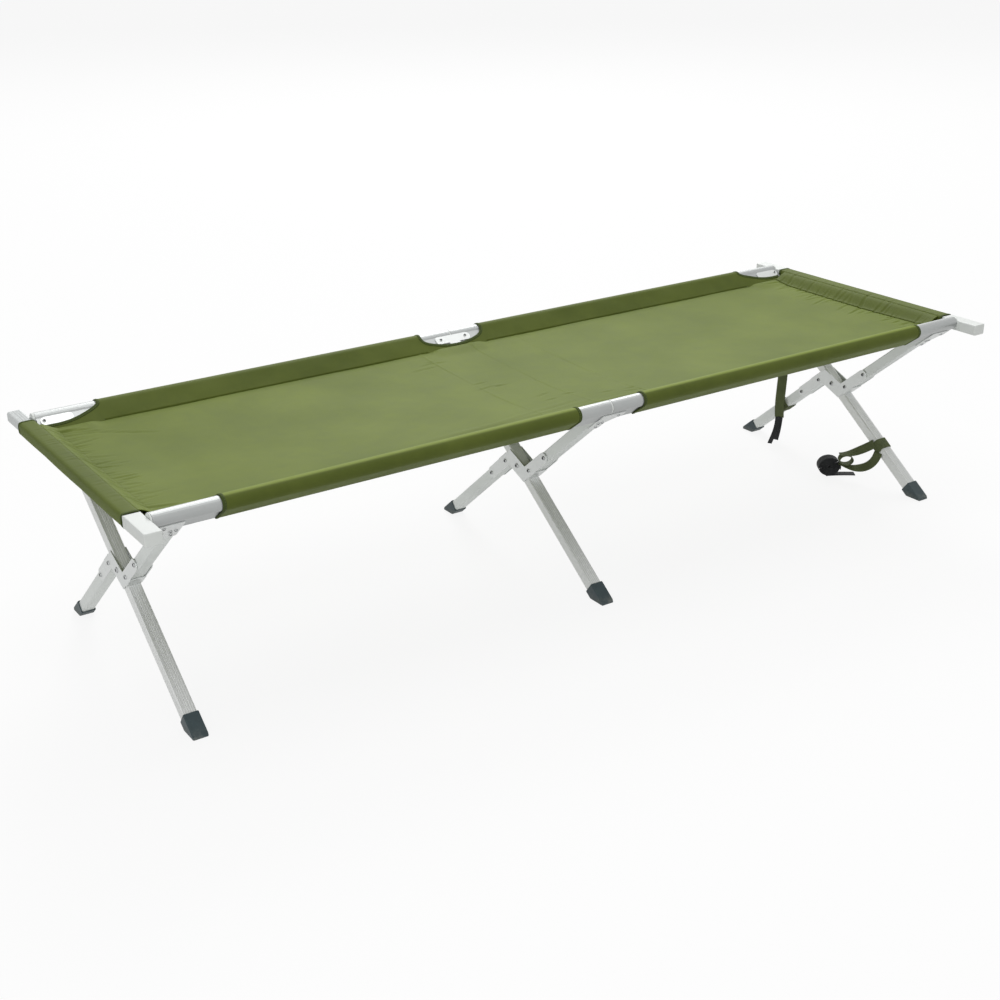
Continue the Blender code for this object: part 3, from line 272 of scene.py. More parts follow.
print("canvas green as light", [round(v, 3) for v in linear(124, 138, 82)])

# %% [markdown]
# ## The floor and what lies behind the bed
# The floor is a real diffuse surface for everything except what the camera and mirrors see.
# There a plain white glow is mixed in, so the picture keeps a white ground with a soft shadow.
# The surroundings do the same: they light the bed gently and look white.

# %% Floor and surroundings
FLOOR_GLOW = 0.88
FLOOR_SHADE = linear(206, 206, 204)
FLOOR_WHITE = (0.95, 0.95, 0.95)
FLOOR_HALF = 30
FLOOR_DROP = 0.0005
WORLD_LEVEL = 0.40


def lay_floor():
    look = Finish("pale_floor")
    seen = look.show_white("Material Output", FLOOR_GLOW)
    look.set(Base_Color=look.blend(seen, FLOOR_SHADE, FLOOR_WHITE), Roughness=0.9)
    corners = [(FLOOR_HALF * x, FLOOR_HALF * y, -FLOOR_DROP) for x, y in ((-1, -1), (1, -1), (1, 1), (-1, 1))]
    mesh = bpy.data.meshes.new("floor")
    mesh.from_pydata(corners, [], [(0, 1, 2, 3)])
    mesh.materials.append(look.material)
    floor = put("floor", mesh)


def light_surroundings():
    world = bpy.data.worlds.new("studio")
    bpy.context.scene.world = world
    sky = Finish("studio", world)
    sky.set(Color=WHITE, Strength=WORLD_LEVEL)
    sky.show_white("World Output")


lay_floor()
light_surroundings()
print("floor and surroundings are in place")

# %% [markdown]
# ## Sizes shared with the metalwork
# The cloth wraps parts that are already there, so their sizes are repeated here as named values.
# Frame A carries the back rail on straight legs, frame B the front rail on cranked legs.
# Both frames cross at the scissor pivots, and each has its own up and side directions.

# %% Sizes
PIVOT = Vector((0, 0, 0.199))
RAIL_Y = 0.277
RAIL_Z = 0.402
HALF_LEVER = math.hypot(RAIL_Y, RAIL_Z - PIVOT.z)
CRANK_OFFSET = 0.0248
ANGLE_A = math.atan2(RAIL_Z - PIVOT.z, RAIL_Y)
ANGLE_B = ANGLE_A + math.asin(CRANK_OFFSET / HALF_LEVER)
UP_A = Vector((0, math.cos(ANGLE_A), math.sin(ANGLE_A)))
UP_B = Vector((0, -math.cos(ANGLE_B), math.sin(ANGLE_B)))
SIDE_A = Vector((0, math.sin(ANGLE_A), -math.cos(ANGLE_A)))
SIDE_B = Vector((0, -math.sin(ANGLE_B), -math.cos(ANGLE_B)))
HEAD_A = PIVOT + UP_A * HALF_LEVER
HEAD_B = PIVOT + SIDE_B * CRANK_OFFSET + UP_B * math.sqrt(HALF_LEVER**2 - CRANK_OFFSET**2)
HEAD_RADIUS = 0.013
TAIL_HALF = 0.011
TAIL_REACH = 0.038
BAR_X = 0.935
BAR_Z = 0.39625
BAR_HALF_WIDTH = 0.0135
BAR_HALF_HEIGHT = 0.00975
LEG_X = {"left": -0.872, "middle": -0.022, "right": 0.872}
LEG_HALF = (0.0125, 0.011)
RAILS = {"back": (HEAD_A, UP_A, SIDE_A, "frame_a"), "front": (HEAD_B, UP_B, SIDE_B, "frame_b")}
print("rail heads", tuple(round(v, 4) for v in HEAD_A), tuple(round(v, 4) for v in HEAD_B))

# %% [markdown]
# ## Metal finishes
# The tubes are extruded and satin anodised: fine lines run along each tube, and the tone wanders a little.
# Long lines come from noise that is squeezed along the tube's direction.
# The brackets are stamped sheet, brighter and smoother, with faint wear in scattered patches.

# %% Metal
LEG_RIB_PITCH = 0.0041
BAR_RIB_PITCH = 0.0053
RIB_ZONE = 0.0110
GROOVE_EDGE = (0.10, 0.26)


def painted_groove_shade_mask(look, point, middles, pitch):
    """1 in the fine grooves of a tube's wide faces, which lie evenly on both sides of its middle plane; there
    the colour carries painted shade.
    """
    x = look.parts(point)[0]
    off = (x - middles[0]).size()
    for middle in middles[1:]:
        off = off.least((x - middle).size())
    turn = off * (1 / pitch)
    from_groove = look.node("ShaderNodeMath", {"operation": "PINGPONG"}, {0: turn + 0.5, 1: 0.5})
    return (1 - from_groove.between(*GROOVE_EDGE)) * (off < RIB_ZONE)


def extruded_metal(name, along, tone, metallic, middles=(), pitch=LEG_RIB_PITCH):
    """Drawn tube: fine lines and a broad drift along it, smudges, scratches, and painted shade in the grooves
    if it has ribs.
    """
    look = Finish(name)
    point = look.place()
    lines = look.noise(stretched(look, point, along, 0.012), 1400, 2.0, 0.6)
    broad = look.noise(stretched(look, point, along, 0.25), 24, 3.0, 0.55)
    smudge = look.noise(point, 9, 4.0, 0.6).between(0.50, 0.72)
    scratch = look.noise(stretched(look, point, along, 0.05), 420, 1.0, 0.4).between(0.70, 0.78)
    light = tuple(min(v * 1.08, 0.92) for v in tone)
    colour = look.blend(lines * 0.35 + broad * 0.65, toned(tone, 0.84), light)
    colour = look.blend(smudge * 0.18, colour, toned(tone, 0.76))
    groove_painted_shade = painted_groove_shade_mask(look, point, middles, pitch) if middles else 0.0
    if middles:
        # Painted shade: the grooves are darkened.
        colour = look.blend(groove_painted_shade * 0.30, colour, toned(tone, 0.42))
    height = lines * 0.6 + scratch * -0.8
    return look.set(
        Base_Color=colour,
        Metallic=metallic,
        Roughness=0.38 + lines * 0.10 + smudge * 0.10 - scratch * 0.06 + groove_painted_shade * 0.15,
        Normal=look.relief(height, 0.00005, 0.5),
    )


def stamped_metal(name, tone):
    look = Finish(name)
    point = look.place()
    grain = look.noise(point, 1900, 2.0, 0.6)
    cloud = look.noise(point, 34, 4.0, 0.6)
    wear = look.noise(point, 210, 3.0, 0.65).between(0.60, 0.74)
    colour = look.blend(cloud, toned(tone, 0.90), tone)
    colour = look.blend(wear * 0.30, colour, toned(tone, 0.66))
    return look.set(
        Base_Color=colour,
        Metallic=0.60,
        Roughness=0.34 + cloud * 0.10 + wear * 0.12,
        Normal=look.relief(grain * 0.5 - wear * 0.4, 0.00004, 0.5),
    )


def rivet_steel():
    look = Finish("rivet_heads")
    point = look.place()
    cloud = look.noise(point, 500, 3.0, 0.6)
    return look.set(
        Base_Color=look.blend(cloud, (0.36, 0.37, 0.37), (0.56, 0.57, 0.57)),
        Metallic=0.9,
        Roughness=0.32 + cloud * 0.2,
        Normal=look.relief(cloud, 0.0001, 0.4),
    )


# Painted light: the long legs' aluminium is set lighter than the half legs' same aluminium.
LEG_TONE_WITH_PAINTED_LIGHT = (0.85, 0.88, 0.855)
HALF_LEG_TONE = (0.74, 0.77, 0.75)
RAIL_TONE = (0.43, 0.445, 0.44)
BAR_TONE = (0.52, 0.54, 0.535)
PLATE_TONE = (0.73, 0.75, 0.74)
LEG_MIDDLES = tuple(LEG_X.values())
LEG_METAL_A = extruded_metal("leg_metal_a", tuple(UP_A), LEG_TONE_WITH_PAINTED_LIGHT, 0.30, LEG_MIDDLES)
LEG_METAL_B = extruded_metal("leg_metal_b", tuple(UP_B), HALF_LEG_TONE, 0.42)
RAIL_METAL = extruded_metal("rail_metal", (1.0, 0.0, 0.0), RAIL_TONE, 0.85)
BAR_METAL = extruded_metal("bar_metal", (0.0, 1.0, 0.0), BAR_TONE, 0.70, (-BAR_X, BAR_X), BAR_RIB_PITCH)
PLATE_METAL = stamped_metal("plate_metal", PLATE_TONE)
RIVET_METAL = rivet_steel()
print("metal finishes", [m.name for m in bpy.data.materials if "metal" in m.name])

# %% [markdown]
# ## Plastic finishes
# The white end plugs and bar caps are moulded, slightly warm and fine-grained.
# The feet are dark blue-grey boots whose soles pick up pale dust, which fades upwards from the ground.

# %% Plastic
DUST_HEIGHT = (0.002, 0.016)


def moulded_white():
    look = Finish("moulded_white")
    point = look.place()
    grain = look.noise(point, 1500, 2.0, 0.6)
    cloud = look.noise(point, 18, 3.0, 0.5)
    scuff = look.noise(point, 160, 4.0, 0.7).between(0.62, 0.75)
    colour = look.blend(cloud, linear(222, 226, 223), linear(233, 236, 233))
    colour = look.blend(scuff * 0.30, colour, linear(200, 204, 200))
    return look.set(
        Base_Color=colour,
        Roughness=0.36 + cloud * 0.10 + scuff * 0.15,
        Normal=look.relief(grain, 0.00004, 0.5),
    )


def foot_plastic():
    look = Finish("foot_rubber")
    point = look.place()
    height = look.parts(point)[2]
    grain = look.noise(point, 1100, 3.0, 0.65)
    cloud = look.noise(point, 60, 3.0, 0.6)
    dust = (1 - height.between(*DUST_HEIGHT)) * cloud.between(0.35, 0.7)
    colour = look.blend(cloud, linear(38, 53, 57), linear(58, 75, 79))
    colour = look.blend(dust * 0.55, colour, linear(142, 144, 138))
    return look.set(
        Base_Color=colour,
        Roughness=0.42 + cloud * 0.14 + dust * 0.25,
        Normal=look.relief(grain, 0.00012, 0.5),
    )


MOULDED_WHITE = moulded_white()
FOOT_PLASTIC = foot_plastic()
print("plastic finishes", MOULDED_WHITE.name, FOOT_PLASTIC.name)

# %% [markdown]
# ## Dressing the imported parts
# Every metal and plastic part keeps its solid, and only its material changes.
# The part's name says what it is made of, so one small table sorts them all.

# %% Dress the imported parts
DRESS = {
    "rail_": RAIL_METAL,
    "leg_long": LEG_METAL_A,
    "leg_upper": LEG_METAL_B,
    "leg_lower": LEG_METAL_B,
    "end_bar": BAR_METAL,
    "crank": PLATE_METAL,
    "bracket": PLATE_METAL,
    "pivot_rivet": RIVET_METAL,
    "plug": MOULDED_WHITE,
    "ring": MOULDED_WHITE,
    "bar_cap": MOULDED_WHITE,
    "foot": FOOT_PLASTIC,
}


def dress_parts():
    count = 0
    for name, part in NODES.items():
        for start, look in DRESS.items():
            if name.startswith(start):
                for slot in part.material_slots:
                    slot.material = look
                count += 1
    return count


print("dressed", dress_parts(), "parts")

# %% [markdown]
# ## Soft edges
# No stamped or moulded edge is perfectly sharp: a narrow bevel catches a thin line of light.
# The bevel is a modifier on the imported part, after a weld that joins its doubled points.
# The caps' short corner edges would hold their wider bevel back, so it may overlap them there.

# %% Soft edges
SOFT_EDGES = {
    "bar_cap": 0.0015,
    "foot": 0.0020,
    "crank": 0.0003,
    "bracket": 0.0003,
    "plug": 0.0004,
    "ring": 0.0003,
}
SAME_POINT = 0.00001
SHARP = math.radians(38)


def soften_edges():
    for name, part in NODES.items():
        for start, width in SOFT_EDGES.items():
            if name.startswith(start):
                weld = part.modifiers.new("weld", "WELD")
                weld.merge_threshold = SAME_POINT
                edge = part.modifiers.new("soft_edge", "BEVEL")
                edge.width = width
                edge.segments = 3
                edge.limit_method = "ANGLE"
                edge.angle_limit = SHARP
                edge.use_clamp_overlap = start != "bar_cap"


soften_edges()
print("softened", len(SOFT_EDGES), "kinds of part")

# %% [markdown]
# ## Rivet heads
# Blind rivets hold the brackets: their heads are low domes with a shallow well, where the pin broke off,
# coloured near black as painted shade.
# Each dome is turned from one short profile, and the heads of one group share a mesh.
# Their places follow the brackets: in pairs on the crank's arms, in rows on the plates of the leg tops.
# Places are given along the rail and down the leg, heads by radius and height, in metres.

# %% Rivet heads
PLATE = 0.002
FIT = 0.0003
CRANK_FACE = LEG_HALF[0] + FIT + PLATE
BRACKET_FACE = TAIL_HALF + FIT + PLATE
CRANK_REACHES = (0.033, 0.100)
LEG_RIVETS = ((-0.00475, 0.044), (0.00475, 0.044), (0, 0.062))
END_RIVETS = {"lower": ((0.0212, 0.022),), "upper": ((0.0323, 0.0155),)}
MIDDLE_RIVETS = {"lower": ((0.030, 0.022),), "upper": ((-0.030, 0.0155), (0.030, 0.0155))}
CRANK_HEAD = (0.0041, 0.0019)
PIVOT_HEAD = (0.0044, 0.0019)
PLATE_HEAD = (0.0032, 0.00172)
HEAD_SIDES = 16
DOME = ((0.0, -0.1), (1.06, -0.1), (1.05, 0.3), (0.94, 0.8), (0.82, 1.0))
WELL = ((0.72, 1.0), (0.68, 0.95), (0.0, 0.945))


def painted_rivet_hole_shade():
    look = Finish("painted_rivet_hole_shade")
    cloud = look.noise(look.place(), 900, 2.0, 0.6)
    # Painted shade: the shallow well is coloured near black for the shade in the pin's hole.
    dark, painted_lighter = (0.012, 0.013, 0.014), (0.05, 0.052, 0.055)
    return look.set(Base_Color=look.blend(cloud, dark, painted_lighter), Roughness=0.6 + cloud * 0.2)


RIVET_HOLE_SHADE = painted_rivet_hole_shade()


def turned_head(points, faces, spot, facing, radius, height):
    """Adds one rivet head; each face is kept with whether it lies in the well."""
    across = facing.orthogonal().normalized()
    other = facing.cross(across)
    rings = []
    for share, rise in DOME + WELL:
        rings.append((len(points), HEAD_SIDES if share else 1))
        for k in range(rings[-1][1]):
            a = 2 * math.pi * k / HEAD_SIDES
            out = across * math.cos(a) + other * math.sin(a)
            points.append(spot + facing * height * rise + out * radius * share)
    for j, ((low, n), (high, m)) in enumerate(zip(rings, rings[1:])):
        for k in range(HEAD_SIDES):
            nexts = (k + 1) % HEAD_SIDES
            quad = (low + k % n, low + nexts % n, high + nexts % m, high + k % m)
            faces.append((tuple(dict.fromkeys(quad)), j >= len(DOME)))


def smooth_piece(name, points, faces, *looks):
    """A softly shaded object from plain points and faces, with its materials in order."""
    mesh = bpy.data.meshes.new(name)
    mesh.from_pydata([tuple(p) for p in points], [], faces)
    mesh.shade_smooth()
    for look in looks:
        mesh.materials.append(look)
    return put(name, mesh)


def rivet_heads(name, spots, size, body):
    points, faces = [], []
    for spot, facing in spots:
        turned_head(points, faces, spot, facing, *size)
    piece = smooth_piece(name, points, [f for f, _ in faces], RIVET_METAL, RIVET_HOLE_SHADE)
    piece.data.polygons.foreach_set("material_index", [int(dark) for _, dark in faces])
    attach(piece, body)
    return len(spots)


def both_sides(x, out, y, z):
    """The same place on both side faces of a leg set, each with the direction that it faces."""
    return [(Vector((x + hand * out, y, z)), Vector((hand, 0, 0))) for hand in (1, -1)]


def crank_spots(x):
    spots = []
    for sense in (1, -1):
        for reach in CRANK_REACHES:
            spot = PIVOT + SIDE_B * CRANK_OFFSET * sense + UP_B * reach * sense
            spots += both_sides(x, CRANK_FACE, spot.y, spot.z)
    return spots


def bracket_spots(rail, name):
    """Heads on the two plates of one leg top: three on the leg, and one or two on the rail's tail."""
    head, up, side, _ = RAILS[rail]
    sense = -1 if name == "left" else 1
    on_rail = MIDDLE_RIVETS if name == "middle" else END_RIVETS
    spots = []
    for plate, outward in (("lower", side), ("upper", -side)):
        for along, down in (*LEG_RIVETS, *((sense * a, d) for a, d in on_rail[plate])):
            spot = head - up * down + outward * BRACKET_FACE
            spots.append((Vector((LEG_X[name] + along, spot.y, spot.z)), outward))
    return spots


def fit_rivet_heads():
    count = 0
    for name, x in LEG_X.items():
        count += rivet_heads(f"rivet_heads_crank_{name}", crank_spots(x), CRANK_HEAD, "frame_b")
        pivots = both_sides(x, CRANK_FACE + FIT, 0, PIVOT.z)
        count += rivet_heads(f"rivet_heads_pivot_{name}", pivots, PIVOT_HEAD, "frame_a")
        for rail in RAILS:
            spots = bracket_spots(rail, name)
            count += rivet_heads(f"rivet_heads_{rail}_{name}", spots, PLATE_HEAD, RAILS[rail][3])
    return count


print("rivet heads", fit_rivet_heads())

# %% [markdown]
# ## Canvas
# The cloth is a plain-woven polyester with a satin look: bright on top, deep green in its shade.
# The weave is two crossed sine waves on the cloth's own thread coordinates, one thread over the next.
# Broad clouds of tone keep it from looking printed, as the fibres never lie quite the same way.

# %% Canvas finish
THREAD = 0.0011
CANVAS_LOW = linear(92, 105, 40)
CANVAS_HIGH = linear(114, 127, 53)
CANVAS_SHADE = linear(78, 90, 38)
# Painted shade: the sleeves, the end bar tubes and the right end's slope use the canvas darkened by this
# share.
SLEEVE_PAINTED_SHADE = 0.70
PAINTED_HIGHLIGHT_LIFT = 1.35
PAINTED_HIGHLIGHT_EDGE = (0.0030, 0.0085)
TWILL = 0.0009


def canvas_finish(name, lift=1.0, painted_highlight_at=None):
    """Canvas in one tone, darkened by lift where it carries painted shade; on a sleeve a painted highlight
    runs along the crest, given across the cloth.
    """
    look = Finish(name)
    u, v, _ = look.parts(look.thread())
    turn = 2 * math.pi / THREAD
    warp = (u * turn).sine()
    weft = (v * turn).sine()
    weave = (warp * weft) * 0.5 + 0.5
    place = look.place()
    broad = look.noise(place, 5, 3.0, 0.55)
    cloud = look.noise(place, 38, 4.0, 0.65)
    speck = look.noise(place, 620, 2.0, 0.6)
    share = (broad * 0.7 + cloud * 0.3).between(0.22, 0.78)
    colour = look.blend(share, toned(CANVAS_LOW, lift), toned(CANVAS_HIGH, lift))
    # Painted highlight: a lighter band along the sleeve's crest.
    if painted_highlight_at:
        painted_lighter = 1 - (v - painted_highlight_at).size().between(*PAINTED_HIGHLIGHT_EDGE)
        colour = look.blend(painted_lighter * 0.9, colour, toned(CANVAS_HIGH, PAINTED_HIGHLIGHT_LIFT))
    colour = look.blend((weave * 0.5 + speck * 0.5) * 0.22, colour, toned(CANVAS_SHADE, lift))
    return look.set(
        Base_Color=colour,
        Roughness=0.55 + cloud * 0.10 + weave * 0.05,
        Specular_IOR_Level=0.16,
        Sheen_Weight=0.11,
        Sheen_Roughness=0.45,
        Sheen_Tint=(0.58, 0.76, 0.22, 1),
        Normal=look.relief(weave + speck * 0.4, 0.00012, 0.35),
    )


CANVAS = canvas_finish("olive_canvas_weave")
CANVAS_PAINTED_SHADE = canvas_finish("olive_canvas_painted_shade", SLEEVE_PAINTED_SHADE)
print("canvas thread pitch", THREAD * 1000, "mm")


def binding_finish():
    """Folded tape in a fine twill, darker than the canvas."""
    look = Finish("olive_edge_tape")
    u, v, _ = look.parts(look.thread())
    twill = ((u + v) * (2 * math.pi / TWILL)).sine() * 0.5 + 0.5
    fuzz = look.noise(look.place(), 800, 3.0, 0.7)
    return look.set(
        Base_Color=look.blend(twill * 0.5 + fuzz * 0.5, linear(50, 62, 27), linear(78, 90, 42)),
        Roughness=0.70 + fuzz * 0.15,
        Specular_IOR_Level=0.2,
        Normal=look.relief(twill + fuzz * 0.5, 0.00015, 0.5),
    )


def thread_finish():
    look = Finish("olive_sewing_thread")
    strand = look.noise(look.place(), 1600, 2.0, 0.6)
    return look.set(
        Base_Color=look.blend(strand, linear(108, 122, 66), linear(140, 152, 96)),
        Roughness=0.5 + strand * 0.2,
        Normal=look.relief(strand, 0.0001, 0.5),
    )


EDGE_TAPE = binding_finish()
THREAD_LOOK = thread_finish()

# %% [markdown]
# ## Building cloth from rows of points
# Each piece of cloth is a grid: rows of points across it, one row after another along it.
# The grid also gives the thread coordinates, measured along the cloth itself, so the weave never stretches.
# A thin thickness is added last. Cells can be left out where the cloth is cut away.

# %% Cloth builder
CLOTH = 0.0011


def measure(points):
    """Running length along a line of points."""
    steps = [0.0]
    for a, b in zip(points, points[1:]):
        steps.append(steps[-1] + (b - a).length)
    return steps


def cloth_piece(name, rows, look, body=None, keep=None, thickness=CLOTH):
    mesh = bpy.data.meshes.new(name)
    wide = len(rows[0])
    faces = []
    for i in range(len(rows) - 1):
        for k in range(wide - 1):
            if keep is None or keep(i, k):
                faces.append((i * wide + k, (i + 1) * wide + k, (i + 1) * wide + k + 1, i * wide + k + 1))
    middle = wide // 2
    along = measure([row[middle] for row in rows])
    across = [measure(row) for row in rows]
    mesh.from_pydata([tuple(p) for row in rows for p in row], [], faces)
    layer = mesh.uv_layers.new(name="threads")
    for loop in mesh.loops:
        i, k = divmod(loop.vertex_index, wide)
        layer.data[loop.index].uv = (along[i], across[i][k])
    mesh.validate()
    shape = bmesh.new()
    shape.from_mesh(mesh)
    bmesh.ops.delete(shape, geom=[v for v in shape.verts if not v.link_faces], context="VERTS")
    shape.to_mesh(mesh)
    shape.free()
    mesh.shade_smooth()
    mesh.materials.append(look)
    piece = put(name, mesh)
    skin = piece.modifiers.new("thickness", "SOLIDIFY")
    skin.thickness = thickness
    skin.offset = 0
    if body:
        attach(piece, body)
    return piece


def ease(t):
    t = min(max(t, 0.0), 1.0)
    return t * t * (3 - 2 * t)


print("cloth builder ready")

# %% [markdown]
# ## Sewing thread
# Seams are real stitches: each one is a small bead of thread that rises from the cloth and dips again.
# A whole row is one mesh, laid along a path at an even pitch, so it costs little and never slides.

# %% Stitches
STITCH_PITCH = 0.0044
STITCH_SHARE = 0.68
STITCH_START = 0.1
STITCH_RADIUS = 0.00036
STITCH_TOP = 1.3


def stitch_places(path):
    """Start, end and normal of each stitch along a path of (point, normal)."""
    places = []
    steps = measure([p for p, _ in path])
    count = int(steps[-1] / STITCH_PITCH)

    def at(run):
        i = min(range(1, len(steps)), key=lambda k: (steps[k] < run, k))
        t = (run - steps[i - 1]) / max(steps[i] - steps[i - 1], 1e-9)
        return path[i - 1][0].lerp(path[i][0], t), path[i - 1][1].lerp(path[i][1], t).normalized()

    for k in range(count):
        start, normal = at((k + STITCH_START) * STITCH_PITCH)
        end, _ = at((k + STITCH_START + STITCH_SHARE) * STITCH_PITCH)
        places.append((start, end, normal))
    return places


def stitch_row(name, paths, body=None):
    points, faces = [], []
    for path in paths:
        for start, end, normal in stitch_places(path):
            side = (end - start).cross(normal).normalized() * STITCH_RADIUS
            middle = (start + end) / 2
            first = len(points)
            top = middle + normal * STITCH_RADIUS * STITCH_TOP
            points.extend((start, end, top, middle + side, middle - normal * STITCH_RADIUS, middle - side))
            for k in range(4):
                a, b = first + 2 + k, first + 2 + (k + 1) % 4
                faces.extend(((first, a, b), (first + 1, b, a)))
    piece = smooth_piece(name, points, faces, THREAD_LOOK)
    if body:
        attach(piece, body)
    return piece


print("stitches of", round(STITCH_PITCH * STITCH_SHARE * 1000, 1), "mm")

# %% [markdown]
# ## Creases
# Stretched cloth puckers where it is held: short creases run from the end bars into the panel.
# Each crease is a shallow valley with a soft ridge beside it, and a seeded generator places them once.
# The long folds beside the front rail are given by place, length, turn, width and depth.

# %% Creases
RIDGE_SHARE = 0.55
RIDGE_PLACE = 1.6
CREASE_END = 0.905
CREASE_HALF = 0.225
CREASE_IN = 0.045
CREASE_TURN = 0.28
CREASE_LENGTHS = (0.012, 0.040)
CREASE_WIDTHS = (0.0020, 0.0038)
CREASE_DEPTHS = (0.0006, 0.0019)
CORNER_PULLS = 6
PULL_LENGTHS = (0.009, 0.020)
PULL_WIDTH = 0.0034
PULL_DEPTH = 0.0010
PULL_SPOTS = ((-0.135, 0.175, 5), (-0.085, 0.020, 4), (-0.020, -0.110, 3), (0.100, -0.165, 3))
LONG_FOLDS = (
    (-0.200, -0.196, 0.150, 0.030, 0.0075, 0.0016),
    (-0.110, -0.178, 0.090, 0.110, 0.0060, 0.0011),
    (0.030, -0.206, 0.070, -0.050, 0.0050, 0.0010),
)


class Crease:
    """A valley along a short line on the panel, in the panel's x and y."""

    def __init__(self, x, y, length, turn, width, depth):
        self.x, self.y = x, y
        self.along = (math.cos(turn), math.sin(turn))
        self.length, self.width, self.depth = length, width, depth

    def at(self, x, y):
        dx, dy = x - self.x, y - self.y
        run = dx * self.along[0] + dy * self.along[1]
        off = -dx * self.along[1] + dy * self.along[0]
        fade = math.exp(-((run / self.length) ** 4))
        if fade < 0.01 or abs(off) > 5 * self.width:
            return 0.0
        t = off / self.width
        ridge = RIDGE_SHARE * math.exp(-((t - RIDGE_PLACE) ** 2))
        return self.depth * fade * (ridge - math.exp(-t * t))


def end_creases(sign, seed, count):
    """Puckers beside an end bar, evenly spread with a little chance in each."""
    dice = random.Random(seed)
    made = []
    for k in range(count):
        y = CREASE_HALF * (2 * (k + dice.uniform(0.1, 0.9)) / count - 1)
        length = dice.uniform(*CREASE_LENGTHS)
        x = sign * (CREASE_END - dice.uniform(0.0, CREASE_IN))
        turn = dice.uniform(-CREASE_TURN, CREASE_TURN)
        width = dice.uniform(*CREASE_WIDTHS)
        made.append(Crease(x, y, length, turn, width, dice.uniform(*CREASE_DEPTHS)))
    return made


def corner_creases():
    """Pulls that run from the back left corner, where the cloth hangs on the leg top."""
    made = []
    for k in range(CORNER_PULLS):
        spot = (-0.868 + 0.022 * k, 0.214 - 0.012 * k)
        made.append(Crease(*spot, 0.030, -0.16 - 0.05 * k, 0.0030, 0.0016 - 0.00015 * k))
    return made


def rail_folds():
    """Soft folds close beside the front rail, and short pulls beside the packing folds."""
    dice = random.Random(5)
    pulls = []
    for x, y, count in PULL_SPOTS:
        for _ in range(count):
            spot = (x + dice.uniform(-0.03, 0.03), y + dice.uniform(-0.02, 0.02))
            length = dice.uniform(*PULL_LENGTHS)
            pulls.append(Crease(*spot, length, dice.uniform(-0.3, 0.3), PULL_WIDTH, PULL_DEPTH))
    return pulls + [Crease(*fold) for fold in LONG_FOLDS]


CREASES = {
    "left": end_creases(sign=-1, seed=11, count=34) + corner_creases(),
    "right": end_creases(sign=1, seed=23, count=26),
}
MIDDLE_CREASES = rail_folds()
print("creases", {k: len(v) for k, v in CREASES.items()}, "and in the middle", len(MIDDLE_CREASES))

# %% [markdown]
# ## Where the cloth is cut away
# At each corner and in the middle the sleeve is cut away in a scoop, and only its inner wall runs on.
# A scoop follows a sine raised to a power, which drops steeply first and then runs level.
# The scoops at the corners and those in the middle each have their own depth and power.
# Along a scoop the wall stands off a little, because it passes over the bracket plates of the leg tops.

# %% Scoops
SLEEVE_END = 0.800
GAP_LEFT = -0.095
GAP_RIGHT = 0.052
GAP_MIDDLE = -0.022
SCOOP_LENGTH = 0.106
CORNER_SCOOP = (0.028, 0.75)
MIDDLE_SCOOP = (0.0325, 0.4)
CORNER_REACH = 0.8 * SCOOP_LENGTH
SCOOP_RAMP = 0.030
WALL_LIFT = 0.0022


def scoop_depth(x):
    """How far down the wall the cloth is cut away at x."""
    share = min(x - GAP_LEFT, GAP_RIGHT - x) / ((GAP_RIGHT - GAP_LEFT) / 2)
    depth, power = MIDDLE_SCOOP
    if abs(x) > SLEEVE_END:
        share = (abs(x) - SLEEVE_END) / CORNER_REACH
        depth, power = CORNER_SCOOP
    return depth * math.sin(math.pi / 2 * min(max(share, 0.0), 1.0)) ** power


def wall_share(x):
    """How much of its full stand-off the free wall has at x, from 0 to 1."""
    run = min(x - GAP_LEFT, GAP_RIGHT - x)
    if abs(x) > SLEEVE_END:
        run = abs(x) - SLEEVE_END
    return ease(run / SCOOP_RAMP)


print("scoop in the middle", round(scoop_depth(GAP_MIDDLE) * 1000, 1), "mm deep")

# %% [markdown]
# ## The panel
# The lying surface is pulled flat between the rails and sags a little in the middle.
# Faint folds cross it every 12 cm near its middle, left from the way it was packed.
# The panel is built in place and attached to neither frame.

# %% Panel
SLEEVE_SLACK = 0.0005
SLEEVE_MID = SLEEVE_SLACK + CLOTH / 2
WALL = TAIL_REACH + SLEEVE_MID
HEAD_LEVEL = HEAD_RADIUS + SLEEVE_MID
TAIL_LEVEL = TAIL_HALF + 0.8 * SLEEVE_MID
PANEL_SAG = 0.012
PANEL_END = 0.9115
PACK_FOLDS = (-0.1125, 0.009, 0.129)
FOLD_WIDTH = 0.0026
FOLD_RISE = 0.0011
FOLD_WANDER = 0.002
END_TAUT = 0.72
WAVE = 0.0004


def wall_point(rail, down, lift=0.0):
    """A point on the rail sleeve's inner wall: down runs from the head's top to the tail's corner."""
    head, up, side, _ = RAILS[rail]
    level = HEAD_LEVEL + (TAIL_LEVEL - HEAD_LEVEL) * down / WALL
    return head - up * down - side * (level + lift)


PANEL_EDGE = wall_point("back", WALL)
PANEL_DROP = 0.0017
EDGE_UNDER = 0.0010
EDGE_CLEAR = 0.0030
EDGE_RAISE = 0.0044
EDGE_RAISE_WIDTH = 0.040


def panel_half(x):
    """Half width of the panel: its edge lies under the tube's corner, and clear of a wall that stands off."""
    return PANEL_EDGE.y + EDGE_UNDER - EDGE_CLEAR * wall_share(x)


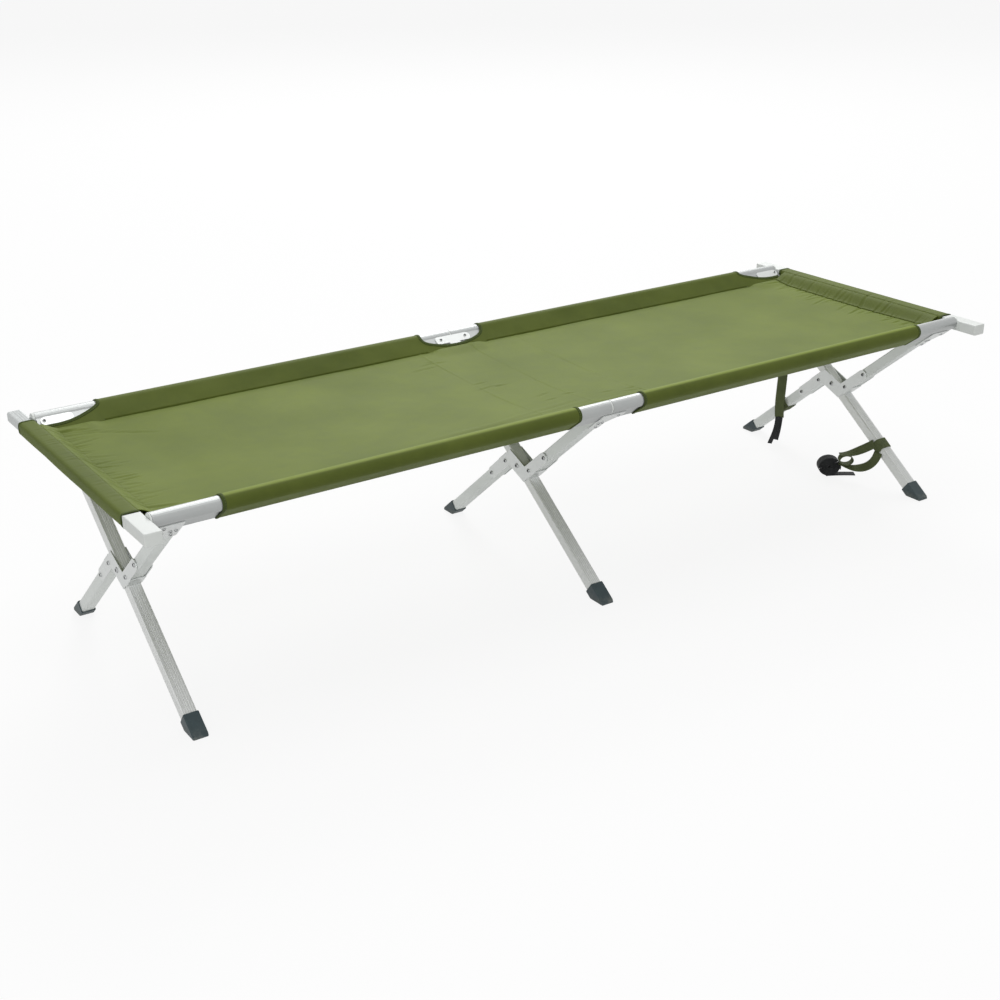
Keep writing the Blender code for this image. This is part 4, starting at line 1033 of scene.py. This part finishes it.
def panel_height(x, y):
    """The panel sags between the rails and rises at its edges where it passes over the leg tops."""
    half = panel_half(x)
    across = y / half
    near_end = ease((abs(x) - SLEEVE_END + SCOOP_LENGTH / 2) / (1.5 * SCOOP_LENGTH))
    sag = PANEL_SAG * (1 - END_TAUT * near_end)
    raised = EDGE_RAISE * wall_share(x) * ease(1 - (half - abs(y)) / EDGE_RAISE_WIDTH)
    fold = 0.0
    for spot in PACK_FOLDS:
        t = (x - spot - FOLD_WANDER * math.sin(21 * y)) / FOLD_WIDTH
        fold += FOLD_RISE * math.exp(-abs(t) ** 1.4) * (0.75 + 0.25 * math.cos(27 * y + 40 * spot))
    wave = WAVE * math.sin(23 * x + 4 * across) * math.sin(3.1 * across + 7 * x)
    return PANEL_EDGE.z - PANEL_DROP - sag * (1 - across * across) + raised + fold + wave


END_ZONE = 0.09
END_STEPS = 30
FOLD_ZONE = 0.009
FOLD_STEP = 0.001
PLAIN_STEP = 0.0055
END_CREASES_FROM = 0.70
COLUMNS = 200


def panel_stations():
    """Places along the panel: close at its ends and at the packing folds, wider between them."""
    ends = [-PANEL_END + END_ZONE * k / END_STEPS for k in range(END_STEPS)]
    inner = -PANEL_END + END_ZONE
    middle = [inner]
    while middle[-1] < -inner - 1e-6:
        near_fold = min(abs(middle[-1] + FOLD_STEP - spot) for spot in PACK_FOLDS) < FOLD_ZONE
        middle.append(min(middle[-1] + (FOLD_STEP if near_fold else PLAIN_STEP), -inner))
    return ends + middle + [-s for s in reversed(ends)]


def panel_rows():
    rows = []
    for x in panel_stations():
        creases = MIDDLE_CREASES
        if abs(x) > END_CREASES_FROM:
            creases = CREASES["left" if x < 0 else "right"]
        half = panel_half(x)
        row = []
        for k in range(COLUMNS + 1):
            y = half * (2 * k / COLUMNS - 1)
            z = panel_height(x, y) + sum(c.at(x, y) for c in creases)
            row.append(Vector((x, y, z)))
        rows.append(row)
    return rows


SEAM_INSETS = (0.0045, 0.0100)
SEAM_END = PANEL_END - 0.004
SEAM_STEPS = 240
UPWARD = Vector((0, 0, 1))


def panel_seam(inset, sense):
    """The path of a seam along one long edge of the panel, on its top face."""
    path = []
    for k in range(SEAM_STEPS + 1):
        x = SEAM_END * (2 * k / SEAM_STEPS - 1)
        y = sense * (panel_half(x) - inset)
        path.append((Vector((x, y, panel_height(x, y) + CLOTH / 2)), UPWARD))
    return path


panel = cloth_piece("canvas_bed", panel_rows(), CANVAS)
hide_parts("canvas_panel")
SEAMS = [panel_seam(inset, sense) for inset in SEAM_INSETS for sense in (-1, 1)]
panel_thread = stitch_row("canvas_bed_thread", SEAMS)
for piece in (panel, panel_thread):
    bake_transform(piece)
print("panel", len(panel.data.vertices), "points, edge at", tuple(round(v, 4) for v in PANEL_EDGE))

# %% [markdown]
# ## Sleeves round the rails
# The canvas is sewn into a tube along each side, with the rail pushed through it.
# It is drawn tight over the round head and the flat tail, so its section is the rail's own, a little larger.
# Each half has two cut edges, from deep in a scoop to where the tube begins.

# %% Side sleeves
WALL_TIP = 0.906
HEAD_RUN = math.pi * HEAD_LEVEL
SECTION = 2 * WALL + HEAD_RUN + 2 * TAIL_LEVEL
HEM = 0.0034
UNDER_SLACK = 0.0006
RIPPLES = ((0.0004, 31, 1), (0.0003, 73, 2))
RIPPLE_START = {"back": 0.3, "front": 2.1}
RIGHT_LATER = 1.7
SLIT = 0.0005
CUTS = {
    "left": ((-WALL_TIP, -SLEEVE_END), (GAP_MIDDLE - SLIT, GAP_LEFT)),
    "right": ((GAP_MIDDLE + SLIT, GAP_RIGHT), (WALL_TIP, SLEEVE_END)),
}
CUT_STEP = 0.002
TUBE_STEP = 0.008
BEFORE_CUT = 0.012
AFTER_CUT = 0.010
WALL_STEPS = 14
HEAD_STEPS = 18
OUTER_STEPS = 10
UNDER_STEPS = 8
# The front sleeve carries painted shade and a painted highlight along the crest of its head.
CANVAS_PAINTED_SHADE_AND_HIGHLIGHT = canvas_finish("olive_canvas_front_sleeve", SLEEVE_PAINTED_SHADE, WALL + HEAD_LEVEL * ANGLE_B)
# Both side sleeves use the darker canvas, which carries painted shade.
SLEEVE_LOOKS = {"back": CANVAS_PAINTED_SHADE, "front": CANVAS_PAINTED_SHADE_AND_HIGHLIGHT}


def section_point(rail, x, s, off=0.0):
    """A point at x: s runs up the inner wall, over the head, down the outer side and back underneath."""
    head, up, side, _ = RAILS[rail]
    if s <= WALL:
        point = wall_point(rail, WALL - s, WALL_LIFT * wall_share(x) + off)
    elif s <= WALL + HEAD_RUN:
        a = (s - WALL) / HEAD_LEVEL
        point = head - side * (HEAD_LEVEL + off) * math.cos(a) + up * (HEAD_LEVEL + off) * math.sin(a)
    elif s <= 2 * WALL + HEAD_RUN:
        t = (s - WALL - HEAD_RUN) / WALL
        point = head - up * WALL * t + side * (HEAD_LEVEL + (TAIL_LEVEL - HEAD_LEVEL) * t + off)
    else:
        run = s - 2 * WALL - HEAD_RUN
        point = head - up * (WALL + off) + side * (TAIL_LEVEL - run)
    return Vector((x, point.y, point.z))


def in_tube(x):
    return abs(x) < SLEEVE_END and not GAP_LEFT < x < GAP_RIGHT


def sleeve_row(rail, x, phase):
    """Beside a scoop the wall has no underside, and its hem reaches down behind the panel's edge."""
    top = scoop_depth(x)
    low = 0.0 if in_tube(x) else -HEM
    ripple = sum(high * math.sin(waves * x + turns * phase) for high, waves, turns in RIPPLES)
    ripple *= 1 - wall_share(x)
    spans = (
        (low, WALL - top - low, WALL_STEPS, ripple),
        (WALL, HEAD_RUN, HEAD_STEPS, 0.0),
        (WALL + HEAD_RUN, WALL, OUTER_STEPS, ripple),
        (2 * WALL + HEAD_RUN, 2 * TAIL_LEVEL, UNDER_STEPS, UNDER_SLACK),
    )
    row = [section_point(rail, x, low)]
    for start, run, steps, slack in spans:
        for k in range(1, steps + 1):
            row.append(section_point(rail, x, start + run * k / steps, slack * math.sin(math.pi * k / steps)))
    return row


def sleeve_stations(low, high):
    """Places along the tube, closer where the wall is cut, and one at each end of a cut."""
    stations = [low]
    while stations[-1] < high - 1e-6:
        x = stations[-1]
        cut_zone = abs(x) > SLEEVE_END - BEFORE_CUT or GAP_LEFT - BEFORE_CUT < x < GAP_RIGHT + AFTER_CUT
        nexts = x + (CUT_STEP if cut_zone else TUBE_STEP)
        for mark in (-SLEEVE_END, GAP_LEFT, GAP_RIGHT, SLEEVE_END, high):
            if x + 1e-6 < mark < nexts:
                nexts = mark
        stations.append(min(nexts, high))
    return stations


def flat_area(stations):
    """Area of the cut cloth: the whole section along the tube, and the wall and hem under each scoop."""
    area = 0.0
    for x0, x1 in zip(stations, stations[1:]):
        x = (x0 + x1) / 2
        area += (x1 - x0) * (SECTION if in_tube(x) else WALL + HEM - scoop_depth(x))
    return area


def build_side_sleeve(rail, hand):
    stations = sleeve_stations(*(start for start, _ in CUTS[hand]))
    phase = RIPPLE_START[rail] + (RIGHT_LATER if hand == "right" else 0)
    rows = [sleeve_row(rail, x, phase) for x in stations]

    def keep(i, k):
        return in_tube((stations[i] + stations[i + 1]) / 2) or k < WALL_STEPS

    piece = cloth_piece(f"canvas_sleeve_{rail}_{hand}", rows, SLEEVE_LOOKS[rail], RAILS[rail][3], keep)
    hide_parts(f"sleeve_{rail}_{hand}")
    return piece, stations


SLEEVES = {(rail, hand): build_side_sleeve(rail, hand) for rail in RAILS for hand in ("left", "right")}
print("sleeves", [s.name for s, _ in SLEEVES.values()])

# %% [markdown]
# ## Edge tape
# Every cut edge of the sleeves is bound with a folded tape, sewn on with one row of stitches.
# The tape's path is drawn on the sleeve's own surface: along the scoop, then once round the rail.
# Its width is laid off square to that path, so it keeps its width through every bend.

# %% Edge tape
BINDING = 0.0006
TAPE_STEPS = 6
EDGE_WIDTH = 0.0052
EDGE_LIFT = CLOTH / 2 + 0.0005
TAPE_TURN = 0.0007
TAPE_UNDER = 0.0003
TAPE_OVER = 0.0008
TAPE_DIP = 0.0004
SEAM_SHARE = 0.68
SEAM_LIFTS = (EDGE_LIFT + TAPE_UNDER, EDGE_LIFT + 0.01)
SCOOP_POINTS = 36
ROUND_POINTS = 40


def tape_profile(width, over, lift):
    """Across a tape: how far each point lies from the edge and off the cloth, with both borders lower."""
    profile = []
    for k in range(TAPE_STEPS):
        dip = 0 if 0 < k < TAPE_STEPS - 1 else TAPE_DIP
        profile.append(((width + over) * k / (TAPE_STEPS - 1) - over, lift - dip))
    return profile


def edge_path(start, end):
    """Points (x, s) of a cut edge: along the scoop from its deep end, then round the tube's end."""
    path = []
    for k in range(SCOOP_POINTS):
        t = 1 - (1 - k / SCOOP_POINTS) ** 2
        x = start + (end - start) * t
        path.append((x, WALL - scoop_depth(x)))
    for k in range(ROUND_POINTS + 1):
        path.append((end, WALL + (SECTION - WALL) * k / ROUND_POINTS))
    return path


def edge_frame(path, i, sense):
    """The direction in (x, s) that runs square from the edge into the cloth."""
    before, after = path[max(i - 1, 0)], path[min(i + 1, len(path) - 1)]
    dx, ds = after[0] - before[0], after[1] - before[1]
    size = math.hypot(dx, ds)
    return sense * ds / size, -sense * dx / size


EDGE_PROFILE = tape_profile(EDGE_WIDTH, TAPE_OVER, EDGE_LIFT)


def off_edge(rail, spot, into, d, lift):
    """A point on the sleeve, at a distance from the cut edge and lifted off the cloth."""
    return section_point(rail, spot[0] + into[0] * d, max(spot[1] + into[1] * d, 0.0), lift)


def bind_edge(rail, hand, start, end):
    sense = 1 if end > start else -1
    path = edge_path(start, end)
    rows, seam = [], []
    for i, spot in enumerate(path):
        into = edge_frame(path, i, sense)
        turned = off_edge(rail, spot, into, -TAPE_TURN, -TAPE_UNDER)
        rows.append([turned] + [off_edge(rail, spot, into, d, lift) for d, lift in EDGE_PROFILE])
        on, out = (off_edge(rail, spot, into, EDGE_WIDTH * SEAM_SHARE, lift) for lift in SEAM_LIFTS)
        seam.append((on, (out - on).normalized()))
    place = "corner" if abs(end) == SLEEVE_END else "middle"
    tape = cloth_piece(f"edge_tape_{rail}_{hand}_{place}", rows, EDGE_TAPE, RAILS[rail][3], None, BINDING)
    return tape, seam


def finish_side_sleeves():
    for (rail, hand), (piece, stations) in SLEEVES.items():
        bound = [bind_edge(rail, hand, start, end) for start, end in CUTS[hand]]
        thread = stitch_row(f"edge_thread_{rail}_{hand}", [seam for _, seam in bound], RAILS[rail][3])
        length = stations[-1] - stations[0]
        flat_area(stations)
        [tape for tape, _ in bound] + [thread]
        print(piece.name, "flat", round(SECTION * 1000), "x", round(length * 1000), "mm")


finish_side_sleeves()

# %% [markdown]
# ## Sleeves round the end bars
# Each end bar runs through its own sleeve, and the cloth slopes from the bar's inner top edge to the panel.
# The slope catches or loses the light, and the right slope also carries painted shade, so it shows as a pale
# band at one end and a dark one at the other.
# Its lower edge laps over the panel, which lets the bar be drawn out a little without opening a gap.
# Round the bar the cloth bulges a little on every side, a form between an ellipse and a rectangle.

# %% End sleeves
FLAP_FOOT_X = 0.8895
FLAP_HALF = 0.2352
END_RANGE = {"left": (-0.2445, 0.2615), "right": (-0.2445, 0.2535)}
OUTWARD = {"left": -1, "right": 1}
SLACK = 0.0010
SLACK_TURN = {"left": 1, "right": 2.2}
BULGE = 0.0013
SQUARENESS = 4.5
INNER_TOP = math.radians(146)
DEEPEST_PUCKER = 0.0009
FLAP_STEPS = 16
ROUND_STEPS = 44
LONG_STEPS = 200
FLAP_SWELL = 0.0020
FLAP_SEAMS = (0.13, 0.94)
FLAP_SEAM_HALF = FLAP_HALF - 0.003
FLAP_SEAM_STEPS = 120
END_PROFILE = tape_profile(width=0.0050, over=0.0006, lift=0.0009)
# The right slope uses the darker canvas, which carries painted shade.
FLAP_LOOKS = {"left": CANVAS, "right": CANVAS_PAINTED_SHADE}


def squared(half, value):
    """A sine or cosine drawn out to a half size, fuller towards the corners than a circle's."""
    return half * math.copysign(abs(value) ** (2 / SQUARENESS), value)


def bar_section():
    """Mid-line of the cloth round the bar as (across, up), once round from its inner top edge."""
    wide = BAR_HALF_WIDTH + FIT + CLOTH / 2 + BULGE
    high = BAR_HALF_HEIGHT + FIT + CLOTH / 2 + BULGE * 0.8
    line = []
    for k in range(ROUND_STEPS + 1):
        a = INNER_TOP - 2 * math.pi * k / ROUND_STEPS
        line.append((squared(wide, math.cos(a)), squared(high, math.sin(a))))
    return line


BAR_SECTION = bar_section()


def end_pucker(hand, y, dx, dz):
    """How far the cloth rises at the inner part of the bar's top, in line with the panel's creases."""
    if dz < BAR_HALF_HEIGHT * 0.8:
        return 0.0
    fade = 1 - (dx + BAR_HALF_WIDTH) / (2.0 * BAR_HALF_WIDTH)
    return sum(c.at(OUTWARD[hand] * CREASE_END, y) for c in CREASES[hand]) * 0.6 * max(fade, 0.0)


def bar_row(hand, y):
    """Once round the bar; underneath, the cloth hangs a little slack."""
    slack = abs(SLACK * math.sin(17 * y + SLACK_TURN[hand]))
    row = []
    for dx, dz in BAR_SECTION:
        z = BAR_Z + dz + max(end_pucker(hand, y, dx, dz), -DEEPEST_PUCKER)
        if dz < -BAR_HALF_HEIGHT * 0.9:
            z -= slack
        row.append(Vector((OUTWARD[hand] * (BAR_X + dx), y, z)))
    return row


def flap_row(hand, y):
    """From the foot on the panel up to the bar's inner top edge."""
    sign = OUTWARD[hand]
    dx, dz = BAR_SECTION[0]
    top_x, top_z = BAR_X + dx, BAR_Z + dz
    foot_z = panel_height(FLAP_FOOT_X, y) + CLOTH + FIT
    row = []
    for k in range(FLAP_STEPS + 1):
        t = k / FLAP_STEPS
        x = FLAP_FOOT_X + (top_x - FLAP_FOOT_X) * t
        z = foot_z + (top_z - foot_z) * (0.55 * t + 0.45 * ease(t)) + FLAP_SWELL * math.sin(math.pi * t) * t
        z += sum(c.at(sign * x, y) for c in CREASES[hand]) * (1 - 0.3 * t)
        row.append(Vector((sign * x, y, z)))
    return row


def end_binding(hand, y, inward):
    """Tape round the sleeve's end, folded over its edge."""
    rows = []
    for dx, dz in BAR_SECTION:
        normal = Vector((dx / BAR_HALF_WIDTH**2, dz / BAR_HALF_HEIGHT**2)).normalized()
        row = []
        for d, lift in END_PROFILE:
            x, z = BAR_X + dx + normal.x * lift, BAR_Z + dz + normal.y * lift
            row.append(Vector((OUTWARD[hand] * x, y + inward * d, z)))
        rows.append(row)
    end = "front" if inward > 0 else "back"
    tape = cloth_piece(f"edge_tape_end_{hand}_{end}", rows, EDGE_TAPE, f"end_{hand}", None, BINDING)
    return tape


def flap_seam(hand, t):
    """Path of the stitches along the flap; t runs from its foot to the bar."""
    path = []
    for k in range(FLAP_SEAM_STEPS + 1):
        row = flap_row(hand, FLAP_SEAM_HALF * (2 * k / FLAP_SEAM_STEPS - 1))
        path.append((row[int(t * FLAP_STEPS)] + UPWARD * (CLOTH / 2), UPWARD))
    return path


def build_end_sleeve(hand):
    body = f"end_{hand}"
    low, high = END_RANGE[hand]
    shares = [k / LONG_STEPS for k in range(LONG_STEPS + 1)]
    rows = [bar_row(hand, low + (high - low) * t) for t in shares]
    # The tube round the bar uses the darker canvas, which carries painted shade.
    tube = cloth_piece(f"canvas_end_{hand}", rows, CANVAS_PAINTED_SHADE, body)
    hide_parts(f"end_sleeve_{hand}")
    rows = [flap_row(hand, FLAP_HALF * (2 * t - 1)) for t in shares]
    flap = cloth_piece(f"canvas_flap_{hand}", rows, FLAP_LOOKS[hand], body)
    tapes = [end_binding(hand, low, 1), end_binding(hand, high, -1)]
    thread = stitch_row(f"flap_thread_{hand}", [flap_seam(hand, t) for t in FLAP_SEAMS], body)
    around = measure(bar_row(hand, 0.0))[-1]
    slope = measure(flap_row(hand, 0.0))[-1]
    print(tube.name, "and its flap, flat across", [round(v * 1000) for v in (around, slope)], "mm")


for hand in OUTWARD:
    build_end_sleeve(hand)

# %% [markdown]
# ## Webbing
# Two olive webbing straps hang on the right leg set, and black tape ends them.
# Webbing is woven in a herringbone: slanted ribs that change direction from stripe to stripe.
# It is modelled directly as bands, because a flat strap has no filling to swell.

# %% Webbing finish
STRIPE = 0.004


def webbing_finish(name, low, high, pitch):
    look = Finish(name)
    u, v, _ = look.parts(look.thread())
    stripe = (v * (math.pi / STRIPE)).sine().size()
    slant = (u * (2 * math.pi / pitch) + stripe * 3.0).sine() * 0.5 + 0.5
    fuzz = look.noise(look.place(), 900, 3.0, 0.7)
    broad = look.noise(look.place(), 45, 3.0, 0.6)
    colour = look.blend(slant * 0.6 + fuzz * 0.4, low, high)
    colour = look.blend(broad.between(0.45, 0.75) * 0.3, colour, toned(low, 0.6))
    return look.set(
        Base_Color=colour,
        Roughness=0.72 + fuzz * 0.15,
        Normal=look.relief(slant + fuzz * 0.5, 0.00035, 0.6),
    )


OLIVE_WEBBING = webbing_finish("olive_webbing_weave", linear(62, 70, 40), linear(102, 112, 70), 0.0016)
BLACK_WEBBING = webbing_finish("black_webbing_weave", linear(18, 19, 20), linear(40, 42, 44), 0.0014)
print("webbing finishes", OLIVE_WEBBING.name, BLACK_WEBBING.name)

# %% [markdown]
# ## Bands of webbing
# A band follows a smooth route and holds its width in a direction that may turn along the way.
# Routes are drawn with a few aiming points, so that they bend like stiff tape and never kink.

# %% Bands
TAPE = 0.0015
TAPE_WIDTH = 0.025
BAND_STEPS = 8
WRAP_GAP = 0.0014
WRAP_ROUND = 0.0035
WRAP_HALF = tuple(half + WRAP_GAP - WRAP_ROUND for half in LEG_HALF)
WRAP_STEPS = 4


def curve(points, steps):
    """A smooth line that starts at the first point, ends at the last and is pulled by the others."""
    line = []
    for k in range(steps + 1):
        t = k / steps
        level = [Vector(p) for p in points]
        while len(level) > 1:
            level = [a.lerp(b, t) for a, b in zip(level, level[1:])]
        line.append(level[0])
    return line


def ribbon(name, route, first, last, width, look, body=None):
    """A band along a route; its width turns evenly from the first direction to the last."""
    rows = []
    count = len(route) - 1
    for i, point in enumerate(route):
        along = (route[min(i + 1, count)] - route[max(i - 1, 0)]).normalized()
        turned = Vector(first).lerp(Vector(last), ease(i / count))
        wide = (turned - along * turned.dot(along)).normalized()
        rows.append([point + wide * width * (k / BAND_STEPS - 0.5) for k in range(BAND_STEPS + 1)])
    return cloth_piece(name, rows, look, body, None, TAPE)


def leg_wrap(name, spot, up, side, body):
    """A band once round the right leg of a frame, closed on itself, with rounded corners."""
    across = side.cross(up)
    middle = Vector((LEG_X["right"], spot.y, spot.z))
    line = []
    for corner, (h, v) in enumerate(((1, 1), (-1, 1), (-1, -1), (1, -1))):
        for k in range(WRAP_STEPS + 1):
            a = math.radians(90 * (corner + k / WRAP_STEPS))
            out = h * WRAP_HALF[0] + WRAP_ROUND * math.cos(a)
            over = v * WRAP_HALF[1] + WRAP_ROUND * math.sin(a)
            line.append(middle + across * out + side * over)
    line.append(line[0].copy())
    return ribbon(name, line, up, up, TAPE_WIDTH, OLIVE_WEBBING, body)


print("tape", TAPE_WIDTH * 1000, "mm wide")

# %% [markdown]
# ## The strap on the right front leg
# It goes once round the leg, and its two runs meet in a keeper loop after making an open eye.
# The black end is rolled up loosely and lies on the ground, with its last stretch flat under it.

# %% Front strap
FRONT_SPOT = PIVOT - UP_A * 0.189
ROLL_CENTRE = (0.8075, -0.0580, 0.0236)
KEEPER_CENTRE = (0.8275, -0.0910, 0.0450)
STRAP_RIGHT = Vector((0.834, -0.552, 0)).normalized()
STRAP_TOWARD = Vector((-0.552, -0.834, 0)).normalized()
LEG_SIDE_X = 0.8572
RUN_END = (0, -0.62, -0.78)
RUN_WIDTH = 0.8 * TAPE_WIDTH
KEEPER_WIDTH = 0.021
LAST_WIDTH = 0.020
UPPER_RUN = ((0.817, -0.080, 0.056), (0.842, -0.100, 0.056), (LEG_SIDE_X, -0.145, 0.0935))
LOWER_RUN = (
    (0.819, -0.079, 0.034),
    (0.834, -0.108, 0.022),
    (0.846, -0.156, 0.030),
    (LEG_SIDE_X, -0.159, 0.076),
)


def oval(centre, wide, high, turns, start, shrink, steps):
    """Points round an upright oval; over its turns it shrinks evenly, which makes a roll."""
    centre, right, up = Vector(centre), STRAP_RIGHT * wide, UPWARD * high
    line = []
    for k in range(int(steps * turns) + 1):
        a = start + 2 * math.pi * k / steps
        r = 1 - shrink * k / steps
        line.append(centre + right * r * math.cos(a) + up * r * math.sin(a))
    return line


def front_band(part, route, width, look, last=STRAP_TOWARD):
    """One band of this strap; each starts with its width towards the front."""
    return ribbon(f"strap_front_{part}", route, STRAP_TOWARD, last, width, look, "frame_a")


def build_front_strap():
    wrap = leg_wrap("strap_front_wrap", FRONT_SPOT, UP_A, SIDE_A, "frame_a")
    upper = front_band("upper", curve(UPPER_RUN, 24), RUN_WIDTH, OLIVE_WEBBING, RUN_END)
    lower = front_band("lower", curve(LOWER_RUN, 28), RUN_WIDTH, OLIVE_WEBBING, RUN_END)
    loop = oval(KEEPER_CENTRE, wide=0.0155, high=0.0115, turns=1, start=0.4, shrink=0, steps=32)
    keeper = front_band("keeper", loop, KEEPER_WIDTH, OLIVE_WEBBING)
    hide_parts("strap_front")
    coil = oval(ROLL_CENTRE, wide=0.0262, high=0.0222, turns=7.2, start=-0.3, shrink=0.118, steps=40)
    roll = front_band("coil", coil, TAPE_WIDTH, BLACK_WEBBING)
    start = Vector(ROLL_CENTRE) - STRAP_RIGHT * 0.006 - UPWARD * 0.0224
    rise = start + STRAP_RIGHT * 0.03 + UPWARD * 0.0022
    end = start + STRAP_RIGHT * 0.068 + UPWARD * 0.0006
    tail = front_band("end", curve([start, rise, end], 20), LAST_WIDTH, BLACK_WEBBING)
    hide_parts("strap_front_roll")
    return [wrap, keeper, upper, lower, roll, tail]


FRONT_STRAP = build_front_strap()
print("front strap", [s.name for s in FRONT_STRAP])

# %% [markdown]
# ## The strap on the right back leg
# It comes down from the canvas, goes round the leg and ends in two narrow black tails.
# Its wrap and tails are attached to the leg's frame, and the hanging run is attached to neither frame.

# %% Back strap
BACK_SPOT = PIVOT - SIDE_B * CRANK_OFFSET - UP_B * 0.178
HANG_WIDTH = 0.0225
TAIL_START = (0.5, -0.86, 0)
TAIL_WIDTH = 0.0115


def build_back_strap():
    y = BACK_SPOT.y
    wrap = leg_wrap("strap_back_wrap", BACK_SPOT, UP_B, SIDE_B, "frame_b")
    top = curve([(0.858, y, 0.378), (0.854, y, 0.280), (0.852, y, 0.185)], 16)
    turn = curve([(0.852, y, 0.185), (0.850, y, 0.150), (0.8485, y, 0.130)], 10)[1:]
    low = curve([(0.8485, y, 0.130), (0.8460, y, 0.105), (0.8490, y, 0.0724)], 12)[1:]
    route = top + turn + low
    hang = ribbon("strap_back_hang", route, (1, -0.35, 0), (0.42, -0.90, 0), HANG_WIDTH, OLIVE_WEBBING)
    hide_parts("strap_back")
    left = [(0.848, y + 0.004, 0.074), (0.844, y, 0.040), (0.829, y, 0.025), (0.818, y - 0.004, 0.012)]
    right = [(0.850, y - 0.003, 0.074), (0.851, y, 0.042), (0.844, y + 0.002, 0.014)]
    tails = []
    ends = (("left", curve(left, 18), (0.1, -1, 0)), ("right", curve(right, 14), (0.8, -0.6, 0)))
    for hand, line, last in ends:
        name = f"strap_back_tail_{hand}"
        tails.append(ribbon(name, line, TAIL_START, last, TAIL_WIDTH, BLACK_WEBBING, "frame_b"))
    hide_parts("strap_back_tails")
    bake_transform(hang)
    return [wrap, hang, *tails]


BACK_STRAP = build_back_strap()
print("back strap", [s.name for s in BACK_STRAP])
